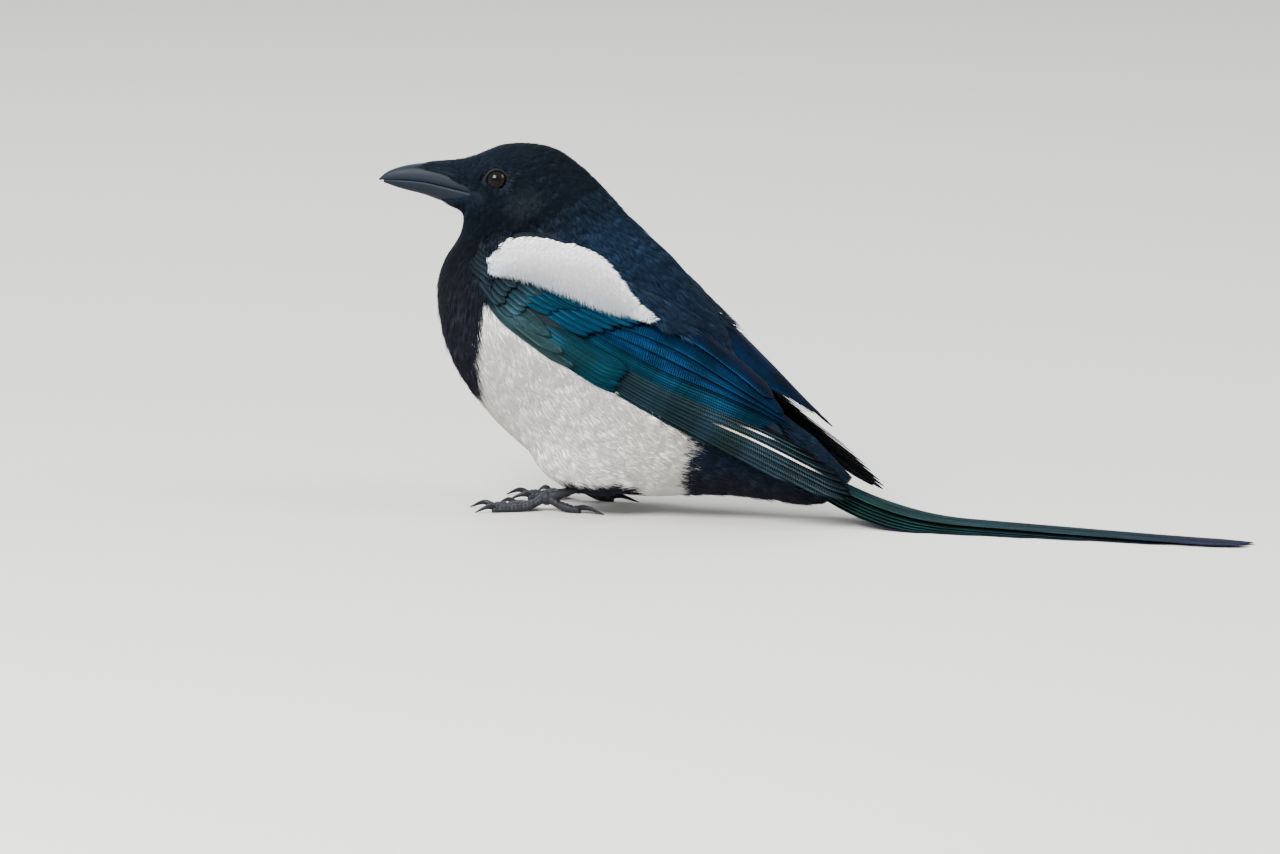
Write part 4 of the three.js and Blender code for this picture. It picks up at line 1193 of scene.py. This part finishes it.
def mandible(way):
    # Half an oval over the cutting edge: width times sin(angle), height times cos(angle) to
    # a power, closed by a flat underside that leaves a groove along the rim
    x = np.concatenate([np.linspace(-97, -94, 10)[:-1], np.linspace(-94, -54.5, 70)])
    if way < 0:
        x = x[x > -95.2]
    top, edge, under, half = np.moveaxis(smoothRows(bill["along"], bill["shape"], x), -1, 0)
    tall = top - edge if way > 0 else edge - under
    angle = np.linspace(-np.pi / 2, np.pi / 2, 25)
    width = half[:, None] * np.sin(angle)
    rise = bill["split"] + (tall - bill["split"])[:, None] * np.cos(angle) ** bill["fullness"][way]
    arch = np.stack([x[:, None] + 0 * width, width, edge[:, None] + way * rise], -1)
    inner = arch[:, 1:-1][:, ::-1] * [1, 0.85, 1]
    inner[..., 2] = edge[:, None] + way * 0.03
    return closedTube(turned(np.concatenate([arch, inner], 1)))


for way, name in ((1, "bill_upper"), (-1, "bill_lower")):
    points, faces = mandible(way)
    addPiece(f"{name}_horn", points, faces, billHorn, (name,))


def billBristles(way, count, start, length, limit, seed):
    # Stiff barbs from the feathers' edge that lie forward along a mandible. They are longest
    # to the sides, over the nostrils, and bow a little away from the horn
    share = evenPoints(count, seed)
    first = start[0] + (start[1] - start[0]) * share[:, 0]
    angle = (share[:, 1] * 2 - 1) * limit
    reach = length * random.normal(1, 0.16, count) * (0.45 + 0.55 * np.sin(np.abs(angle) / limit * 2.4))
    lift = 0.35 + 0.9 * random.random(count)
    t = np.linspace(0, 1, 5)[None, :]
    x = first[:, None] - reach[:, None] * t
    top, edge, under, half = np.moveaxis(smoothRows(bill["along"], bill["shape"], x), -1, 0)
    tall = top - edge if way > 0 else edge - under
    bent = angle[:, None] * (1 - 0.22 * t) + random.normal(0, 0.07, (count, 1)) * t
    up = lift[:, None] * (1 - t) ** 0.6 * 1.3 + 0.12
    spine = turned(np.stack([x, (half + up) * np.sin(bent), edge + way * (tall + up) * np.cos(bent)], -1))
    ahead = unit(np.gradient(spine, axis=1))
    outwards = unit(spine - turned(np.stack([x, 0 * x, edge + 0 * x], -1)))
    sideways = unit(np.cross(ahead, outwards))
    width = 0.2 * np.array([1, 1, 0.85, 0.6, 0.1])[None, :, None]
    rings = np.stack([spine - sideways * width, spine + sideways * width,
                      spine + outwards * width * 0.8], 2)
    points, faces = closedTube(rings[0])
    allFaces = faces[None] + len(points) * np.arange(count)[:, None, None]
    ends = [rings[:, :1].mean(2), rings[:, -1:].mean(2)]
    allPoints = np.concatenate([rings.reshape(count, -1, 3), *ends], 1)
    return allPoints.reshape(-1, 3), allFaces.reshape(-1, 3)


points, faces = merged([
    billBristles(1, 620, (-58, -65), 14, 1.12, 3),
    billBristles(1, 260, (-60, -66), 6, 1.2, 4),
    billBristles(-1, 300, (-59, -64.5), 6, 0.95, 5),
])
uvs = 0.02 + 0.003 * random.random((len(points), 2))
addPiece("bill_bristles", points, faces, blackDown, ("head",),
         np.tile(linearColour(markings["blackHead"]) * 0.8, (len(points), 1)), uvs, "OFBake")
print("bill made")


def ballRings(radius, at, rings=40, around=48):
    polar = np.linspace(0.02, np.pi - 0.02, rings)[:, None]
    angle = np.linspace(0, 2 * np.pi, around + 1)[:-1][None]
    return at + radius * np.stack(np.broadcast_arrays(
        np.sin(polar) * np.cos(angle), np.sin(polar) * np.sin(angle), np.cos(polar)), -1)


def eyeMaterial():
    # Wet cornea over a dark brown iris: nearly black, with a hard clear highlight
    material, tree, shader = startMaterial(
        "eyeCornea", Roughness=0.05, Specular_IOR_Level=0.12)
    tint = addNode(tree, "ShaderNodeAttribute", {"attribute_name": "tint"}).outputs["Color"]
    place = addNode(tree, "ShaderNodeTexCoord").outputs["Object"]
    fleck = addNode(tree, "ShaderNodeTexNoise", {"Scale": 1800.0}, Vector=place)
    level = addNode(tree, "ShaderNodeMapRange", {"To Min": 0.7, "To Max": 1.3},
                    Value=fleck.outputs["Fac"])
    shaded = addNode(tree, "ShaderNodeVectorMath", {"operation": "SCALE"},
                     at0=tint, Scale=level.outputs["Result"])
    tree.links.new(shaded.outputs["Vector"], shader.inputs["Base Color"])
    return material


eyeFinish = (eyeMaterial(), "eye")
for sideName, side in (("left", -1), ("right", 1)):
    centre = turned(np.array([eye["at"][0], side * eye["at"][1], eye["at"][2]], float))
    points, faces = closedTube(ballRings(eye["radius"], centre))
    onAxis = np.array([bird["turnAxisX"], 0, 0.0])
    facing = turned(onAxis + [0, side, 0]) - turned(onAxis)
    ahead = (unit(points - centre) * facing).sum(-1)
    ring = np.arccos(np.clip(ahead, -1, 1)) * eye["radius"]
    iris = smoothStep(ring, *eye["pupilEdge"])
    tints = blend(linearColour(eye["pupil"]), linearColour(eye["iris"]), iris)
    addPiece(f"eyeball_{sideName}", points, faces, eyeFinish, (f"eye_{sideName}",), tints)
    # Lid: a ring round the opening, a little longer fore and aft
    out = np.sqrt(eye["radius"] ** 2 - eye["opening"] ** 2)
    around = np.linspace(0, 2 * np.pi, 73)[:-1][:, None]
    tube = np.linspace(0, 2 * np.pi, 17)[:-1][None]
    reach = eye["opening"] + eye["lid"] * (1 + np.cos(tube) * 0.9)
    rim = np.stack(np.broadcast_arrays(
        eye["at"][0] + reach * np.cos(around) * (1 + 0.05 * np.cos(around) ** 6),
        side * (eye["at"][1] + out + eye["lid"] * 0.75 * np.sin(tube)),
        eye["at"][2] + reach * np.sin(around)), -1)
    rings = turned(rim)
    points = rings.reshape(-1, 3)
    count, tubeCount = rings.shape[:2]
    quads = ringFaces(count + 1, tubeCount) % len(points)
    addPiece(f"eyelid_{sideName}", points, quads, lidSkin, ("head",))
print("eyes made")

leg = {
    "spread": 18, "jointX": -18, "jointZ": 5.7, "knuckle": 3.1,
    "tarsus": 47, "slope": 18.7, "scutes": 11,
    # Toes: yaw outwards from straight ahead, lengths of toe and claw, pads and radius
    "toes": [
        {"yaw": 4, "length": 27, "claw": 8, "pads": 4, "radius": 2.2},
        {"yaw": -24, "length": 22, "claw": 8.5, "pads": 3, "radius": 2.1},
        {"yaw": 33, "length": 24, "claw": 7.5, "pads": 4, "radius": 2},
        {"yaw": 176, "length": 16, "claw": 11.5, "pads": 2, "radius": 2.3},
    ],
}


def legTube(path, heading, lean, radius, tall, scutes=0, relief=0.0):
    # Rings square to the path: radius sideways, tall upwards. Scutes are a saw-tooth along
    # the upper side, each one higher at its far edge
    around = 20
    angle = np.linspace(0, 2 * np.pi, around + 1)[:-1][None]
    share = np.linspace(0, 1, len(path))[:, None]
    saw = (share * scutes) % 1
    upper = np.clip(np.sin(angle) + 0.35, 0, 1)
    grow = relief * (saw ** 2 - 0.3) * upper
    across = np.stack([-heading[1], heading[0], 0 * heading[0]])
    up = np.array([-heading[0] * np.sin(lean), -heading[1] * np.sin(lean), np.cos(lean)])
    rings = (path[:, None] + across * ((radius[:, None] + grow) * np.cos(angle))[..., None]
             + up * ((tall[:, None] + grow) * np.sin(angle))[..., None])
    rings[..., 2] = np.maximum(rings[..., 2], 0.0)
    return rings


def footPieces(side):
    joint = np.array([leg["jointX"], side * leg["spread"], leg["jointZ"]])
    toes, claws = [closedTube(ballRings(leg["knuckle"], joint, 20, 24))], []
    for toe in leg["toes"]:
        yaw = np.radians(toe["yaw"])
        heading = np.array([-np.cos(yaw), side * np.sin(yaw)])
        along = np.linspace(0, toe["length"], 72)
        pad = np.abs(np.sin(np.pi * along / toe["length"] * (toe["pads"] + 0.5))) ** 0.6
        girth = toe["radius"] * (1 - 0.28 * along / toe["length"]) * (0.84 + 0.18 * pad)
        girth = girth * np.sqrt(np.clip((toe["length"] + 0.6 - along) / 1.6, 0.05, 1))
        height = girth * 0.9 + (joint[2] - girth * 0.9) * np.exp(-(along / 6) ** 2)
        path = np.stack([joint[0] + heading[0] * along, joint[1] + heading[1] * along, height], -1)
        toes.append(closedTube(legTube(path, heading, 0, girth, girth, 3 * toe["pads"] + 2, 0.28)))
        share = np.linspace(0, 1, 26)
        along = toe["length"] - 1.5 + (toe["claw"] + 1.5) * share
        girth = 1.25 * (1 - share) ** 0.7 + 0.12
        height = 1.9 + 1.6 * np.sin(np.pi * share) * (1 - share) - 1.6 * share ** 2
        path = np.stack([joint[0] + heading[0] * along, joint[1] + heading[1] * along, height], -1)
        claws.append(closedTube(legTube(path, heading, 0, girth * 0.8, girth)))
    return merged(toes), merged(claws)


def tarsusPiece(side):
    joint = np.array([leg["jointX"], side * leg["spread"], leg["jointZ"]])
    slope = np.radians(leg["slope"])
    share = np.linspace(0, 0.84, 90)
    path = joint + np.outer(share * leg["tarsus"], [np.cos(slope), 0, np.sin(slope)])
    radius = 1.75 + 0.9 * (2 * share - 1) ** 4
    return closedTube(legTube(path, np.array([1.0, 0]), slope, radius * 0.86, radius,
                              leg["scutes"], 0.38))


for sideName, side in (("left", -1), ("right", 1)):
    (toePoints, toeFaces), (clawPoints, clawFaces) = footPieces(side)
    addPiece(f"toes_{sideName}", toePoints, toeFaces, legScale, (f"foot_{sideName}",))
    addPiece(f"claws_{sideName}", clawPoints, clawFaces, clawHorn, (f"foot_{sideName}",))
    points, faces = tarsusPiece(side)
    addPiece(f"shank_{sideName}", points, faces, legScale, (f"tarsus_{sideName}",))
print("legs made")

# Studio: pale floor, soft light, and a long lens at the photograph's viewing angle
studio = {
    "azimuth": 22, "elevation": 8, "distance": 5.0, "frameWidth": 0.5504, "sensor": 36,
    "aim": (18, 0, 36.1),
    "floor": "#bcbab6", "world": "#eef1f5", "worldStrength": 1.6,
    # Soft boxes: azimuth, elevation, distance, size and power
    "lights": [(-30, 40, 2.2, 1.0, 140), (75, 35, 2.2, 1.0, 30), (200, 45, 2.2, 1.0, 28)],
}


def fromAngles(azimuth, elevation):
    turn, up = np.radians(azimuth), np.radians(elevation)
    return np.array([np.sin(turn) * np.cos(up), -np.cos(turn) * np.cos(up), np.sin(up)])


def pointAt(thing, place, target):
    thing.location = Vector(place)
    thing.rotation_euler = (Vector(target) - Vector(place)).to_track_quat("-Z", "Y").to_euler()
    bpy.context.scene.collection.objects.link(thing)


aim = (np.array(studio["aim"]) + shift) * metre
cameraData = bpy.data.cameras.new("camera")
cameraData.sensor_width = studio["sensor"]
cameraData.lens = studio["sensor"] * studio["distance"] / studio["frameWidth"]
cameraData.clip_end = 50
camera = bpy.data.objects.new("camera", cameraData)
pointAt(camera, aim + studio["distance"] * fromAngles(studio["azimuth"], studio["elevation"]), aim)
bpy.context.scene.camera = camera

for number, (azimuth, elevation, distance, size, power) in enumerate(studio["lights"]):
    lightData = bpy.data.lights.new(f"softBox{number}", "AREA")
    lightData.size = size
    lightData.energy = power
    softBox = bpy.data.objects.new(f"softBox{number}", lightData)
    pointAt(softBox, aim + distance * fromAngles(studio["azimuth"] + azimuth, elevation), aim)

world = bpy.data.worlds.new("studioWorld")
world.use_nodes = True
background = world.node_tree.nodes["Background"]
background.inputs["Color"].default_value = rgba(studio["world"])
background.inputs["Strength"].default_value = studio["worldStrength"]
bpy.context.scene.world = world

floorMesh = bpy.data.meshes.new("floor")
floorMesh.from_pydata([(-6, -6, 0), (6, -6, 0), (6, 6, 0), (-6, 6, 0)], [], [(0, 1, 2, 3)])
floor = bpy.data.objects.new("floor", floorMesh)
bpy.context.scene.collection.objects.link(floor)
floorMaterial, _, floorShader = startMaterial("paintedFloor", Roughness=0.85)
floorShader.inputs["Base Color"].default_value = rgba(studio["floor"])
floorMesh.materials.append(floorMaterial)
print("studio made")
